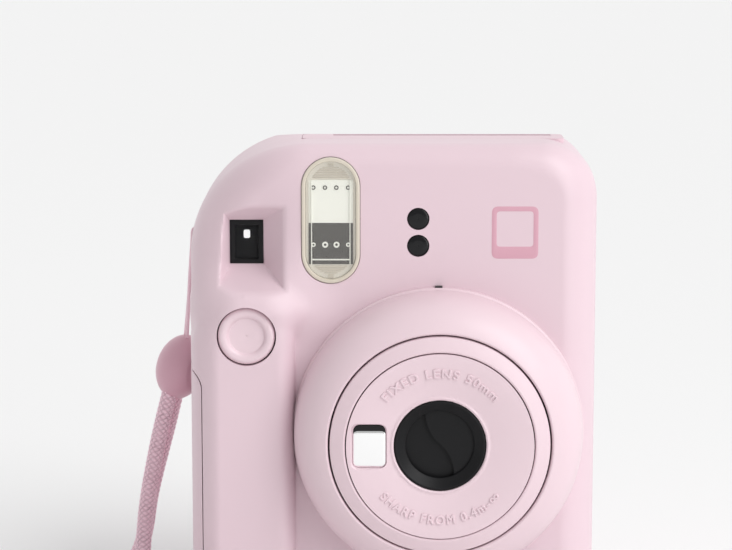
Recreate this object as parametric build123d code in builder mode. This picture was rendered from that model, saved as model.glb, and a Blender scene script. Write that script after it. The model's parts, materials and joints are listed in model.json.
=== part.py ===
from build123d import *
from math import acos, cos, pi, radians, sin, sqrt, tan
import os

# Instant camera, millimetres. +Z up, the lens looks along -Y, +X is right seen from the front.
# The origin is the middle of the base.

# ---- driving dimensions -------------------------------------------------------------
BODY_LEFT = -51.9
BODY_RIGHT = 51.0
BODY_TOP = 122.0
FRONT_Y = -14.5
SPLIT_Y = 8.0
REAR_Y = 32.3
WALL = 1.8
CORNER_TOP_LEFT = 30.0
CORNER_TOP_RIGHT = 14.0
CORNER_BOTTOM_RIGHT = 12.0
CORNER_BOTTOM_LEFT = 8.0
FRONT_ROUND = 6.0
REAR_ROUND = 10.0
GRIP_Y = -19.7
GRIP_RIGHT = -26.0
GRIP_TOP = 85.0
GRIP_ROUND = 4.0

GAP = 0.3
RUN_FIT = 0.07

LENS_X = 10.8
LENS_Z = 50.5
LENS_HOLE_R = 30.0
COLLAR_R = 36.3
RING_BACK_Y = -16.8
RING_FRONT_Y = -31.6
RING_R = 36.0
RING_MOUTH_R = 27.2
SPIGOT_R = 33.6
BARREL_R = 26.9
BARREL_BORE_R = 25.0
BARREL_FRONT_Y = -31.2
BARREL_BACK_Y = -6.0
PLATE_R = 22.9
PLATE_RIM_Y = -33.3
PLATE_HOLE_R = 11.3
HOOD_R = 11.2
HOOD_MOUTH_R = 8.4
HOOD_FRONT_Y = -31.9
HOOD_BACK_Y = -30.0
MIRROR_X = LENS_X - 17.2
MIRROR_WIDTH = 8.0
MIRROR_HEIGHT = 10.5

BLADE_R = 9.2
BLADE_SEAM_R = 10.0
BLADE_SEAM_X = 6.5
BLADE_SEAM_Z = 7.6
BLADE_THICK = 0.8
BLADE_FRONT_Y = -29.6
BLADE_PITCH_Y = 1.0
BLADE_PIVOT_X = 10.0
BLADE_PIVOT_Z = -14.0
BLADE_BOSS_R = 2.2
BLADE_PIN_R = 0.9

FLASH_X = -15.9
FLASH_Z = 103.4
FLASH_WIDTH = 14.4
FLASH_HEIGHT = 31.3
SENSOR_X = 5.7
SENSOR_R = 2.7
LIGHT_SENSOR_Z = 103.8
FLASH_SENSOR_Z = 97.1

FINDER_X = -37.0
FINDER_Z = 97.2
FINDER_WIDTH = 8.2
FINDER_HEIGHT = 10.8
FINDER_GLASS_Y = -8.0

BUTTON_X = -36.7
BUTTON_Z = 75.2
BUTTON_R = 7.1
BUTTON_BALL_R = 12.2

CHAMBER_LEFT = -18.0
CHAMBER_RIGHT = 42.0
CHAMBER_BOTTOM = 7.2
CHAMBER_TOP = 99.2
CHAMBER_FRONT = 10.0
CHAMBER_BACK = 28.9
CHASSIS_WALL = 1.6
APERTURE_WIDTH = 46.0
APERTURE_HEIGHT = 62.0

DOOR_LEFT = -23.0
DOOR_RIGHT = 45.0
DOOR_BOTTOM = 6.0
DOOR_TOP = 107.4
DOOR_IN_Y = 31.3
DOOR_OUT_Y = 33.3
DOOR_PIN_X = -25.2
DOOR_PIN_Y = 30.9
DOOR_PIN_R = 0.8
DOOR_KNUCKLE_R = 2.0
DOOR_TROUGH_R = 3.6

COVER_BOTTOM = 8.3
COVER_TOP = 61.3
COVER_SEAM_X = -49.3
COVER_BACK = 21.3
COVER_PIN_X = -50.6
COVER_PIN_Y = 22.6
COVER_PIN_R = 0.6
COVER_KNUCKLE_R = 1.25
COVER_NOTCH_BACK = 24.9

HOLDER_LEFT = -49.4
HOLDER_RIGHT = -31.4
HOLDER_FRONT = -11.5
HOLDER_BACK = 20.5
HOLDER_BOTTOM = 6.9
HOLDER_TOP = 62.4
HOLDER_WALL = 1.5
CELL_R = 7.25

GEAR_MODULE = 0.7
PRESSURE_ANGLE = radians(20)
GEAR_BACKLASH = 0.14
GEAR_LEFT = -27.6
GEAR_RIGHT = -22.2
ROLLER_TEETH = 14
IDLER_TEETH = 24
PINION_TEETH = 10
ROLLER_Z = 106.0
ROLLER_FRONT_Y = 6.4
ROLLER_BACK_Y = 16.2
ROLLER_R = 4.75
ROLLER_LEFT = -16.5
ROLLER_RIGHT = 40.5
ROLLER_SHAFT_R = 1.5
IDLER_HIGH_Z = 92.7
IDLER_LOW_Z = 75.9
IDLER_PIN_R = 1.2
PINION_Y = 4.3
MOTOR_SHAFT_R = 1.0
MOTOR_LEFT = -48.0
MOTOR_RIGHT = -30.0
MOTOR_R = 6.0
GEAR_PLATE_LEFT = -21.6
GEAR_PLATE_RIGHT = -20.2

TRIM_LEFT = -23.3
TRIM_RIGHT = 42.8
TRIM_FRONT = 2.0
TRIM_BACK = 13.4
TOP_FALL_Y = 13.6
TOP_FALL_ANGLE = 8.0
TRIM_THICK = 1.2
SLOT_LEFT = -15.6
SLOT_RIGHT = 40.0
SLOT_Y = 11.3
SLOT_DEPTH = 2.4

LATCH_Y = 20.0
LATCH_Z = 102.5
LATCH_TRAVEL = 4.0
LATCH_PROUD = 0.9

LUG_X = -51.2
LUG_Y = 18.0
LUG_Z = 96.0
LUG_R = 0.55

COUNTER_X = -38.0
COUNTER_Z = 68.0
COUNTER_WINDOW_Z = 73.0
COUNTER_DIAL_R = 8.0
COUNTER_DIAL_Y = 28.2
COUNTER_PIVOT_R = 1.2

BEAD_CENTRE = (-56.6, 31.0, 57.8)
BEAD_AXIS = (0.31, 0.0, 0.95)
BEAD_R = 6.6
BEAD_HALF = 8.87
TETHER_R = 0.475
STRAP_R = 1.6


def front_plane(y, x=0.0, z=0.0):
    """A plane facing the front, with X to the right and Z up in its sketch."""
    return Plane(origin=(x, y, z), x_dir=(1, 0, 0), z_dir=(0, -1, 0))


def side_plane(x, y=0.0, z=0.0):
    """A plane facing +X, with Y across and Z up in its sketch."""
    return Plane(origin=(x, y, z), x_dir=(0, 1, 0), z_dir=(1, 0, 0))


def block(low, high, mode=Mode.ADD):
    """A box between two opposite corners."""
    size = [b - a for a, b in zip(low, high)]
    with Locations(Location(low)):
        Box(*size, align=(Align.MIN, Align.MIN, Align.MIN), mode=mode)


def disc(x, z, radius, y_front, y_back, mode=Mode.ADD):
    """A round bar along Y."""
    with BuildSketch(front_plane(y_back, x, z)) as face:
        Circle(radius)
    extrude(face.sketch, amount=y_back - y_front, mode=mode)


def axle(y, z, radius, x_left, x_right, mode=Mode.ADD):
    """A round bar along X."""
    with BuildSketch(side_plane(x_left, y, z)) as face:
        Circle(radius)
    extrude(face.sketch, amount=x_right - x_left, mode=mode)


def post(x, y, radius, z_low, z_high, mode=Mode.ADD):
    """A round bar along Z."""
    with BuildSketch(Plane.XY.offset(z_low)) as face:
        with Locations((x, y)):
            Circle(radius)
    extrude(face.sketch, amount=z_high - z_low, mode=mode)


def plate(x, z, width, height, corner, y_front, y_back, mode=Mode.ADD):
    """A plate with rounded corners that faces the front."""
    with BuildSketch(front_plane(y_back, x, z)) as face:
        RectangleRounded(width, height, corner)
    extrude(face.sketch, amount=y_back - y_front, mode=mode)


LENS_AXIS = Axis((LENS_X, 0, LENS_Z), (0, 1, 0))


def lens_section():
    """The plane that holds the lens axis, with radius across and Y up in its sketch."""
    return Plane(origin=(LENS_X, 0, LENS_Z), x_dir=(1, 0, 0), z_dir=(0, 0, 1))


def turned(profile, mode=Mode.ADD):
    """A ring about the lens axis from its (radius, y) outline."""
    with BuildSketch(lens_section()) as face:
        with BuildLine():
            Polyline(*profile, close=True)
        make_face()
    revolve(face.sketch, axis=LENS_AXIS, mode=mode)


def save(piece, name):
    """Label one finished piece and write its file."""
    piece.part.label = name
    export_step(piece.part, f"parts/{name}.step")


os.makedirs("parts", exist_ok=True)


# ---- casings ------------------------------------------------------------------------
def body_outline(y, margin):
    """The face outline of the body at one depth, drawn in by a margin."""
    left = BODY_LEFT + margin
    right = BODY_RIGHT - margin
    top = BODY_TOP - margin
    corners = [(left, margin), (left, top), (right, top), (right, margin)]
    radii = [CORNER_BOTTOM_LEFT, CORNER_TOP_LEFT, CORNER_TOP_RIGHT, CORNER_BOTTOM_RIGHT]
    with BuildSketch(front_plane(y)) as face:
        with BuildLine():
            FilletPolyline(*corners, radius=[r - margin for r in radii], close=True)
        make_face()
    return face.sketch


def grip_outline(y, margin):
    """The face outline of the grip at one depth, drawn in by a margin."""
    left = BODY_LEFT + margin
    right = GRIP_RIGHT - margin
    top = GRIP_TOP - margin
    corners = [(left, margin), (left, top), (right, top), (right, margin)]
    with BuildSketch(front_plane(y)) as face:
        with BuildLine():
            FilletPolyline(*corners, radius=[CORNER_BOTTOM_LEFT - margin, 12, 5, 3], close=True)
        make_face()
    return face.sketch


def front_form(margin):
    """The front half of the body with its grip, as a solid drawn in by a margin."""
    with BuildPart() as form:
        extrude(body_outline(SPLIT_Y, margin), amount=SPLIT_Y - FRONT_Y - margin)
        fillet(form.faces().sort_by(Axis.Y)[0].edges(), FRONT_ROUND - margin)
    with BuildPart() as grip:
        extrude(grip_outline(0, margin), amount=-GRIP_Y - margin)
        fillet(grip.faces().sort_by(Axis.Y)[0].edges(), GRIP_ROUND - margin)
    return form.part + grip.part


def rear_form(margin):
    """The rear half of the body as a solid drawn in by a margin."""
    with BuildPart() as form:
        extrude(body_outline(REAR_Y - margin, margin), amount=REAR_Y - margin - SPLIT_Y)
        fillet(form.faces().sort_by(Axis.Y)[-1].edges(), REAR_ROUND - margin)
        top = BODY_TOP - margin
        run = REAR_Y + 1 - TOP_FALL_Y
        drop = run * tan(radians(TOP_FALL_ANGLE))
        with BuildSketch(side_plane(BODY_LEFT)) as wedge:
            with BuildLine():
                Polyline((TOP_FALL_Y, top), (TOP_FALL_Y, top + 1), (REAR_Y + 1, top + 1),
                         (REAR_Y + 1, top - drop), close=True)
            make_face()
        extrude(wedge.sketch, amount=BODY_RIGHT - BODY_LEFT, mode=Mode.SUBTRACT)
    return form.part


def trim_pocket():
    """Cut the seat of the film exit trim from a shell's top."""
    low = (TRIM_LEFT - 0.1, TRIM_FRONT - 0.1, BODY_TOP - TRIM_THICK)
    block(low, (TRIM_RIGHT + 0.1, TRIM_BACK + 0.1, BODY_TOP + 1), mode=Mode.SUBTRACT)


def cover_opening():
    """Cut the battery cover's opening from a shell's left wall, round the grip's front corner."""
    low = (BODY_LEFT - 2, GRIP_Y - 1, COVER_BOTTOM - GAP)
    block(low, (COVER_SEAM_X + GAP, COVER_NOTCH_BACK, COVER_TOP + GAP), mode=Mode.SUBTRACT)


SEAT = 0.2
ROUND_END = 0.01
FRONT_CUT = (FRONT_Y - 1, FRONT_Y + 4.5)
REAR_CUT = (REAR_Y - 4, REAR_Y + 2)
FINDER_MARGIN = 0.4
RECESS_LEFT = -43.0
RECESS_RIGHT = -27.8
RECESS_BOTTOM = 85.8
RECESS_TOP = 105.6
RECESS_WALL = 1.6
FINDER_FLOOR_Y = -6.5

with BuildPart() as front_shell:
    add(front_form(0))
    add(front_form(WALL), mode=Mode.SUBTRACT)
    low = (RECESS_LEFT - RECESS_WALL, FRONT_Y + 1.5, RECESS_BOTTOM - RECESS_WALL)
    block(low, (RECESS_RIGHT + RECESS_WALL, FINDER_FLOOR_Y, RECESS_TOP + RECESS_WALL))
    recess_x = (RECESS_LEFT + RECESS_RIGHT) / 2
    recess_z = (RECESS_BOTTOM + RECESS_TOP) / 2
    with BuildSketch(front_plane(FINDER_GLASS_Y - 0.2, FINDER_X, FINDER_Z)):
        Rectangle(FINDER_WIDTH + FINDER_MARGIN, FINDER_HEIGHT + FINDER_MARGIN)
    with BuildSketch(front_plane(FRONT_Y - 0.1, recess_x, recess_z)):
        Rectangle(RECESS_RIGHT - RECESS_LEFT, RECESS_TOP - RECESS_BOTTOM)
    loft(mode=Mode.SUBTRACT)
    seat_width = FINDER_WIDTH + SEAT
    seat_height = FINDER_HEIGHT + SEAT
    plate(FINDER_X, FINDER_Z, seat_width, seat_height, 0.3, FINDER_GLASS_Y - 0.5, 0, mode=Mode.SUBTRACT)
    disc(LENS_X, LENS_Z, LENS_HOLE_R, *FRONT_CUT, mode=Mode.SUBTRACT)
    seat_width = FLASH_WIDTH + 2 * SEAT
    seat_height = FLASH_HEIGHT + 2 * SEAT
    end_r = seat_width / 2 - ROUND_END
    plate(FLASH_X, FLASH_Z, seat_width, seat_height, end_r, *FRONT_CUT, mode=Mode.SUBTRACT)
    for sensor_z in (LIGHT_SENSOR_Z, FLASH_SENSOR_Z):
        disc(SENSOR_X, sensor_z, SENSOR_R + SEAT / 2, *FRONT_CUT, mode=Mode.SUBTRACT)
    disc(BUTTON_X, BUTTON_Z, BUTTON_R + GAP, GRIP_Y - 1, -12, mode=Mode.SUBTRACT)
    cover_opening()
    trim_pocket()
save(front_shell, "front_shell")

HINGE_BLOCK_LEFT = -29.9
HINGE_BLOCK_RIGHT = -20.2
HINGE_BLOCK_FRONT = 25.8
EYEPIECE_SIZE = 8.6
COUNTER_SIZE = 5.0
LATCH_LENGTH = 16.0
LATCH_WIDTH = 9.0
LATCH_POCKET = 0.5
STEM_LENGTH = 6.0
STEM_WIDTH = 3.0
LUG_HALF = 3.5
LUG_BLOCK_HALF = 5.0
COVER_EAR_HALF = 1.7

with BuildPart() as rear_shell:
    add(rear_form(0))
    add(rear_form(WALL), mode=Mode.SUBTRACT)
    low = (HINGE_BLOCK_LEFT, HINGE_BLOCK_FRONT, DOOR_BOTTOM - 2.2)
    block(low, (HINGE_BLOCK_RIGHT, REAR_Y - 1, DOOR_TOP + 3.6))
    low = (BODY_LEFT + WALL, LUG_Y - LUG_BLOCK_HALF, LUG_Z - LUG_BLOCK_HALF)
    block(low, (BODY_LEFT + WALL + 3.6, LUG_Y + LUG_BLOCK_HALF, LUG_Z + LUG_BLOCK_HALF - 0.5))
    for low_z, high_z in ((COVER_BOTTOM - 2.2, COVER_BOTTOM - GAP), (COVER_TOP + GAP, COVER_TOP + 3.3)):
        low = (COVER_PIN_X - 0.4, COVER_PIN_Y - COVER_EAR_HALF, low_z)
        block(low, (COVER_PIN_X + COVER_EAR_HALF, COVER_PIN_Y + COVER_EAR_HALF, high_z))
    low = (DOOR_LEFT + 0.3, CHAMBER_BACK - 1.2, DOOR_BOTTOM - GAP)
    block(low, (DOOR_RIGHT + GAP, REAR_Y + 1, DOOR_TOP + GAP), mode=Mode.SUBTRACT)
    post(DOOR_PIN_X, DOOR_PIN_Y, DOOR_TROUGH_R, DOOR_BOTTOM - GAP, DOOR_TOP + GAP, mode=Mode.SUBTRACT)
    disc(COUNTER_X, COUNTER_Z, COUNTER_PIVOT_R, COUNTER_DIAL_Y - 1, REAR_Y - 1)
    seat_size = EYEPIECE_SIZE + SEAT
    plate(FINDER_X, FINDER_Z, seat_size, seat_size, 1, *REAR_CUT, mode=Mode.SUBTRACT)
    seat_size = COUNTER_SIZE + SEAT
    plate(COUNTER_X, COUNTER_WINDOW_Z, seat_size, seat_size, 0.6, *REAR_CUT, mode=Mode.SUBTRACT)
    low = (LUG_X - 2, LUG_Y - LUG_HALF, LUG_Z - LUG_HALF)
    block(low, (LUG_X + 2.9, LUG_Y + LUG_HALF, LUG_Z + LUG_HALF), mode=Mode.SUBTRACT)
    for depth, length, width in ((LATCH_POCKET, LATCH_LENGTH, LATCH_WIDTH), (3, STEM_LENGTH, STEM_WIDTH)):
        half_long = length / 2 + GAP
        half_wide = width / 2 + GAP
        low = (BODY_RIGHT - depth, LATCH_Y - half_wide, LATCH_Z - half_long - LATCH_TRAVEL)
        high = (BODY_RIGHT + 1, LATCH_Y + half_wide, LATCH_Z + half_long)
        block(low, high, mode=Mode.SUBTRACT)
    cover_opening()
    trim_pocket()
    low = (SLOT_LEFT, SLOT_Y - SLOT_DEPTH / 2, BODY_TOP - WALL - 1)
    block(low, (SLOT_RIGHT, SLOT_Y + SLOT_DEPTH / 2, BODY_TOP), mode=Mode.SUBTRACT)
save(rear_shell, "rear_shell")

with BuildPart() as film_exit_trim:
    block((TRIM_LEFT, TRIM_FRONT, BODY_TOP - TRIM_THICK), (TRIM_RIGHT, TRIM_BACK, BODY_TOP))
    fillet(film_exit_trim.edges().filter_by(Axis.Z), 2)
    low = (SLOT_LEFT, SLOT_Y - SLOT_DEPTH / 2, BODY_TOP - TRIM_THICK)
    block(low, (SLOT_RIGHT, SLOT_Y + SLOT_DEPTH / 2, BODY_TOP), mode=Mode.SUBTRACT)
save(film_exit_trim, "film_exit_trim")

# ---- film door ----------------------------------------------------------------------
DOOR_WINDOW_X = 12.0
DOOR_WINDOW_Z = 60.0
DOOR_WINDOW_WIDTH = 7.0
DOOR_WINDOW_HEIGHT = 24.0
SEAL_WIDTH = 1.4
SEAL_THICK = 2.0
KNUCKLE_LENGTH = 15.0
DOOR_KNUCKLE_Z = (10.0, 49.0, 88.0)
LEAF_X = (-6.0, 30.0)
LEAF_WIDTH = 6.0
LEAF_LOW_Z = 34.0
LEAF_HIGH_Z = 76.0
LEAF_BOW = 2.7
LEAF_THICK = 0.4

with BuildPart() as film_door:
    block((DOOR_LEFT, DOOR_IN_Y, DOOR_BOTTOM), (DOOR_RIGHT, DOOR_OUT_Y, DOOR_TOP))
    fillet(film_door.edges().filter_by(Axis.Y).sort_by(Axis.X)[-2:], 8)
    for knuckle_z in DOOR_KNUCKLE_Z:
        post(DOOR_PIN_X, DOOR_PIN_Y, DOOR_KNUCKLE_R, knuckle_z, knuckle_z + KNUCKLE_LENGTH)
        low = (DOOR_PIN_X, DOOR_IN_Y, knuckle_z)
        block(low, (DOOR_LEFT + 1, DOOR_PIN_Y + DOOR_KNUCKLE_R, knuckle_z + KNUCKLE_LENGTH))
    post(DOOR_PIN_X, DOOR_PIN_Y, DOOR_PIN_R + RUN_FIT, 0, BODY_TOP, mode=Mode.SUBTRACT)
    window_size = (DOOR_WINDOW_WIDTH, DOOR_WINDOW_HEIGHT)
    plate(DOOR_WINDOW_X, DOOR_WINDOW_Z, *window_size, 3, *REAR_CUT, mode=Mode.SUBTRACT)
save(film_door, "film_door")

with BuildPart() as film_door_hinge_pin:
    post(DOOR_PIN_X, DOOR_PIN_Y, DOOR_PIN_R, DOOR_BOTTOM - 1.6, DOOR_TOP + 2.4)
save(film_door_hinge_pin, "film_door_hinge_pin")

with BuildPart() as film_door_window:
    window_size = (DOOR_WINDOW_WIDTH - SEAT / 2, DOOR_WINDOW_HEIGHT - SEAT / 2)
    plate(DOOR_WINDOW_X, DOOR_WINDOW_Z, *window_size, 3, DOOR_IN_Y, DOOR_OUT_Y - GAP)
save(film_door_window, "film_door_window")

with BuildPart() as door_light_seal:
    seal_low = (CHAMBER_LEFT - CHASSIS_WALL, DOOR_IN_Y - SEAL_THICK, CHAMBER_BOTTOM - CHASSIS_WALL + 0.6)
    block(seal_low, (CHAMBER_RIGHT + CHASSIS_WALL, DOOR_IN_Y, CHAMBER_TOP + CHASSIS_WALL))
    low = (seal_low[0] + SEAL_WIDTH, seal_low[1], seal_low[2] + SEAL_WIDTH)
    block(low, (CHAMBER_RIGHT + 0.2, DOOR_IN_Y, CHAMBER_TOP + 0.2), mode=Mode.SUBTRACT)
save(door_light_seal, "door_light_seal")

with BuildPart() as film_pressure_springs:
    leaf_low = (DOOR_IN_Y, LEAF_LOW_Z)
    leaf_high = (DOOR_IN_Y, LEAF_HIGH_Z)
    leaf_middle_z = (LEAF_LOW_Z + LEAF_HIGH_Z) / 2
    for leaf_x in LEAF_X:
        low = (leaf_x - LEAF_WIDTH / 2, DOOR_IN_Y - LEAF_THICK, LEAF_LOW_Z - 4)
        block(low, (leaf_x + LEAF_WIDTH / 2, DOOR_IN_Y, LEAF_HIGH_Z + 4))
        with BuildSketch(side_plane(leaf_x - LEAF_WIDTH / 2)):
            with BuildLine():
                ThreePointArc(leaf_low, (DOOR_IN_Y - LEAF_BOW, leaf_middle_z), leaf_high)
                ThreePointArc(leaf_high, (DOOR_IN_Y - LEAF_BOW + LEAF_THICK, leaf_middle_z), leaf_low)
            make_face()
        extrude(amount=LEAF_WIDTH)
save(film_pressure_springs, "film_pressure_springs")

LATCH_FOOT_X = BODY_RIGHT - 3.4
LATCH_FOOT_HALF = 3.0
with BuildPart() as film_door_latch:
    low = (BODY_RIGHT - LATCH_POCKET + GAP, LATCH_Y - LATCH_WIDTH / 2, LATCH_Z - LATCH_LENGTH / 2)
    block(low, (BODY_RIGHT + LATCH_PROUD, LATCH_Y + LATCH_WIDTH / 2, LATCH_Z + LATCH_LENGTH / 2))
    fillet(film_door_latch.edges().filter_by(Axis.X), 2.5)
    fillet(film_door_latch.faces().sort_by(Axis.X)[-1].edges(), 0.5)
    low = (LATCH_FOOT_X, LATCH_Y - STEM_WIDTH / 2, LATCH_Z - STEM_LENGTH / 2)
    block(low, (BODY_RIGHT, LATCH_Y + STEM_WIDTH / 2, LATCH_Z + STEM_LENGTH / 2))
    low = (LATCH_FOOT_X, LATCH_Y - LATCH_FOOT_HALF, LATCH_Z - LATCH_FOOT_HALF - 1)
    block(low, (BODY_RIGHT - WALL - GAP, LATCH_Y + LATCH_FOOT_HALF, LATCH_Z + LATCH_FOOT_HALF + 1))
save(film_door_latch, "film_door_latch")

# ---- battery bay --------------------------------------------------------------------
COVER_KNUCKLE_LENGTH = 16.0
with BuildPart() as battery_cover:
    add(front_form(0))
    low = (BODY_LEFT, SPLIT_Y - 1, COVER_BOTTOM)
    block(low, (BODY_LEFT + 2 * WALL, COVER_BACK, COVER_TOP))
    add(front_form(WALL), mode=Mode.SUBTRACT)
    low = (BODY_LEFT + WALL, SPLIT_Y - 2, COVER_BOTTOM - 1)
    block(low, (BODY_LEFT + 3 * WALL, COVER_BACK, COVER_TOP + 1), mode=Mode.SUBTRACT)
    low = (BODY_LEFT - 1, GRIP_Y - 1, COVER_BOTTOM)
    block(low, (COVER_SEAM_X, COVER_BACK, COVER_TOP), mode=Mode.INTERSECT)
    for knuckle_z in (COVER_BOTTOM + 3, COVER_TOP - 3 - COVER_KNUCKLE_LENGTH):
        knuckle_top = knuckle_z + COVER_KNUCKLE_LENGTH
        post(COVER_PIN_X, COVER_PIN_Y, COVER_KNUCKLE_R, knuckle_z, knuckle_top)
        low = (BODY_LEFT + 0.6, COVER_BACK - 0.5, knuckle_z)
        block(low, (BODY_LEFT + WALL, COVER_PIN_Y, knuckle_top))
    post(COVER_PIN_X, COVER_PIN_Y, COVER_PIN_R + RUN_FIT, 0, BODY_TOP, mode=Mode.SUBTRACT)
save(battery_cover, "battery_cover")

with BuildPart() as battery_cover_hinge_pin:
    post(COVER_PIN_X, COVER_PIN_Y, COVER_PIN_R, COVER_BOTTOM - 1.8, COVER_TOP + 3)
save(battery_cover_hinge_pin, "battery_cover_hinge_pin")

with BuildPart() as battery_holder:
    block((HOLDER_LEFT, HOLDER_FRONT, HOLDER_BOTTOM), (HOLDER_RIGHT, HOLDER_BACK, HOLDER_TOP))
    low = (HOLDER_LEFT, HOLDER_FRONT + HOLDER_WALL, HOLDER_BOTTOM + HOLDER_WALL)
    high = (HOLDER_RIGHT - HOLDER_WALL, HOLDER_BACK - HOLDER_WALL, HOLDER_TOP - HOLDER_WALL)
    block(low, high, mode=Mode.SUBTRACT)
save(battery_holder, "battery_holder")

CONTACT_HALF = 4.0
CONTACT_THICK = 0.5
cell_x = HOLDER_LEFT + CELL_R + 0.9
cell_mid_y = (HOLDER_FRONT + HOLDER_BACK) / 2
with BuildPart() as battery_contacts:
    for cell_y in (cell_mid_y - CELL_R, cell_mid_y + CELL_R):
        for contact_z in (HOLDER_BOTTOM + HOLDER_WALL, HOLDER_TOP - HOLDER_WALL - CONTACT_THICK):
            low = (cell_x - CONTACT_HALF, cell_y - CONTACT_HALF, contact_z)
            block(low, (cell_x + CONTACT_HALF, cell_y + CONTACT_HALF, contact_z + CONTACT_THICK))
save(battery_contacts, "battery_contacts")

# ---- viewfinder ---------------------------------------------------------------------
BORE_WIDTH = FINDER_WIDTH + 0.6
BORE_HEIGHT = FINDER_HEIGHT + 0.4
TUNNEL_WALL = 1.3
with BuildPart() as viewfinder_tunnel:
    outer_size = (BORE_WIDTH + 2 * TUNNEL_WALL, BORE_HEIGHT + 2 * TUNNEL_WALL)
    plate(FINDER_X, FINDER_Z, *outer_size, 1, FINDER_FLOOR_Y + 0.1, REAR_Y - WALL - 2)
    plate(FINDER_X, FINDER_Z, BORE_WIDTH, BORE_HEIGHT, 0.5, FINDER_FLOOR_Y, REAR_Y, mode=Mode.SUBTRACT)
save(viewfinder_tunnel, "viewfinder_tunnel")

with BuildPart() as viewfinder_front_window:
    plate(FINDER_X, FINDER_Z, FINDER_WIDTH, FINDER_HEIGHT, 0.3, FINDER_GLASS_Y, FINDER_GLASS_Y + 1)
save(viewfinder_front_window, "viewfinder_front_window")

with BuildPart() as viewfinder_eyepiece:
    plate(FINDER_X, FINDER_Z, EYEPIECE_SIZE, EYEPIECE_SIZE, 1, REAR_Y - 1.6, REAR_Y - 0.2)
save(viewfinder_eyepiece, "viewfinder_eyepiece")

BEZEL_SIZE = 13.0
BEZEL_BACK = REAR_Y + 0.9
with BuildPart() as eyepiece_bezel:
    plate(FINDER_X, FINDER_Z, BEZEL_SIZE, BEZEL_SIZE, 3, REAR_Y, BEZEL_BACK)
    plate(FINDER_X, FINDER_Z, EYEPIECE_SIZE, EYEPIECE_SIZE, 1, REAR_Y, BEZEL_BACK, mode=Mode.SUBTRACT)
save(eyepiece_bezel, "eyepiece_bezel")

# ---- flash and sensors --------------------------------------------------------------
REFLECTOR_FRONT = FRONT_Y + 1.6
REFLECTOR_BACK = -6.2
REFLECTOR_WIDTH = 11.2
REFLECTOR_HEIGHT = 21.0
REFLECTOR_WALL = 0.8
TUBE_Y = -9.8
TUBE_HALF = 9.4
with BuildPart() as flash_window:
    end_r = FLASH_WIDTH / 2 - ROUND_END
    plate(FLASH_X, FLASH_Z, FLASH_WIDTH, FLASH_HEIGHT, end_r, FRONT_Y - 0.5, FRONT_Y + 1.3)
save(flash_window, "flash_window")

with BuildPart() as flash_reflector:
    plate(FLASH_X, FLASH_Z, REFLECTOR_WIDTH, REFLECTOR_HEIGHT, 1, REFLECTOR_FRONT, REFLECTOR_BACK)
    inner_size = (REFLECTOR_WIDTH - 2 * REFLECTOR_WALL, REFLECTOR_HEIGHT - 2 * REFLECTOR_WALL)
    inner_back = REFLECTOR_BACK - 1.5 * REFLECTOR_WALL
    plate(FLASH_X, FLASH_Z, *inner_size, 1, REFLECTOR_FRONT, inner_back, mode=Mode.SUBTRACT)
save(flash_reflector, "flash_reflector")

with BuildPart() as flash_tube:
    post(FLASH_X, TUBE_Y, 1.2, FLASH_Z - TUBE_HALF, FLASH_Z + TUBE_HALF)
save(flash_tube, "flash_tube")

CAPACITOR_Y = -4.0
CAPACITOR_Z = 112.0
CAPACITOR_R = 4.8
with BuildPart() as flash_capacitor:
    axle(CAPACITOR_Y, CAPACITOR_Z, CAPACITOR_R, 13, 40)
save(flash_capacitor, "flash_capacitor")

with BuildPart() as light_sensor_window:
    disc(SENSOR_X, LIGHT_SENSOR_Z, SENSOR_R, FRONT_Y - 0.15, FRONT_Y + WALL - 0.1)
save(light_sensor_window, "light_sensor_window")

with BuildPart() as flash_sensor_window:
    disc(SENSOR_X, FLASH_SENSOR_Z, SENSOR_R, FRONT_Y - 0.15, FRONT_Y + WALL - 0.1)
save(flash_sensor_window, "flash_sensor_window")

SENSOR_HOLDER_HALF = 4.0
BOARD_LOW = (-22.0, -6.0, 84.0)
BOARD_HIGH = (44.0, -4.6, 102.0)
with BuildPart() as sensor_holder:
    low = (SENSOR_X - SENSOR_HOLDER_HALF, FRONT_Y + WALL, FLASH_SENSOR_Z - 4.7)
    block(low, (SENSOR_X + SENSOR_HOLDER_HALF, FRONT_Y + 5.3, LIGHT_SENSOR_Z + 4.8))
save(sensor_holder, "sensor_holder")

with BuildPart() as main_board:
    block(BOARD_LOW, BOARD_HIGH)
save(main_board, "main_board")

# ---- lens ---------------------------------------------------------------------------
COLLAR_FRONT_Y = FRONT_Y - 2.0
SPIGOT_FRONT_Y = -19.5
with BuildPart() as lens_collar:
    turned([
        (LENS_HOLE_R, FRONT_Y), (COLLAR_R, FRONT_Y), (COLLAR_R, COLLAR_FRONT_Y + 0.6),
        (COLLAR_R - 0.6, COLLAR_FRONT_Y), (SPIGOT_R, COLLAR_FRONT_Y), (SPIGOT_R, SPIGOT_FRONT_Y),
        (SPIGOT_R - 2, SPIGOT_FRONT_Y), (LENS_HOLE_R, COLLAR_FRONT_Y),
    ])
save(lens_collar, "lens_collar")

MARK_HALF = 0.9
MARK_TOP = LENS_Z + COLLAR_R + 0.35
with BuildPart() as index_mark:
    low = (LENS_X - MARK_HALF, COLLAR_FRONT_Y + 0.7, MARK_TOP - 0.8)
    block(low, (LENS_X + MARK_HALF, FRONT_Y, MARK_TOP))
    disc(LENS_X, LENS_Z, COLLAR_R, COLLAR_FRONT_Y - 1, FRONT_Y + 1, mode=Mode.SUBTRACT)
save(index_mark, "index_mark")

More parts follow.
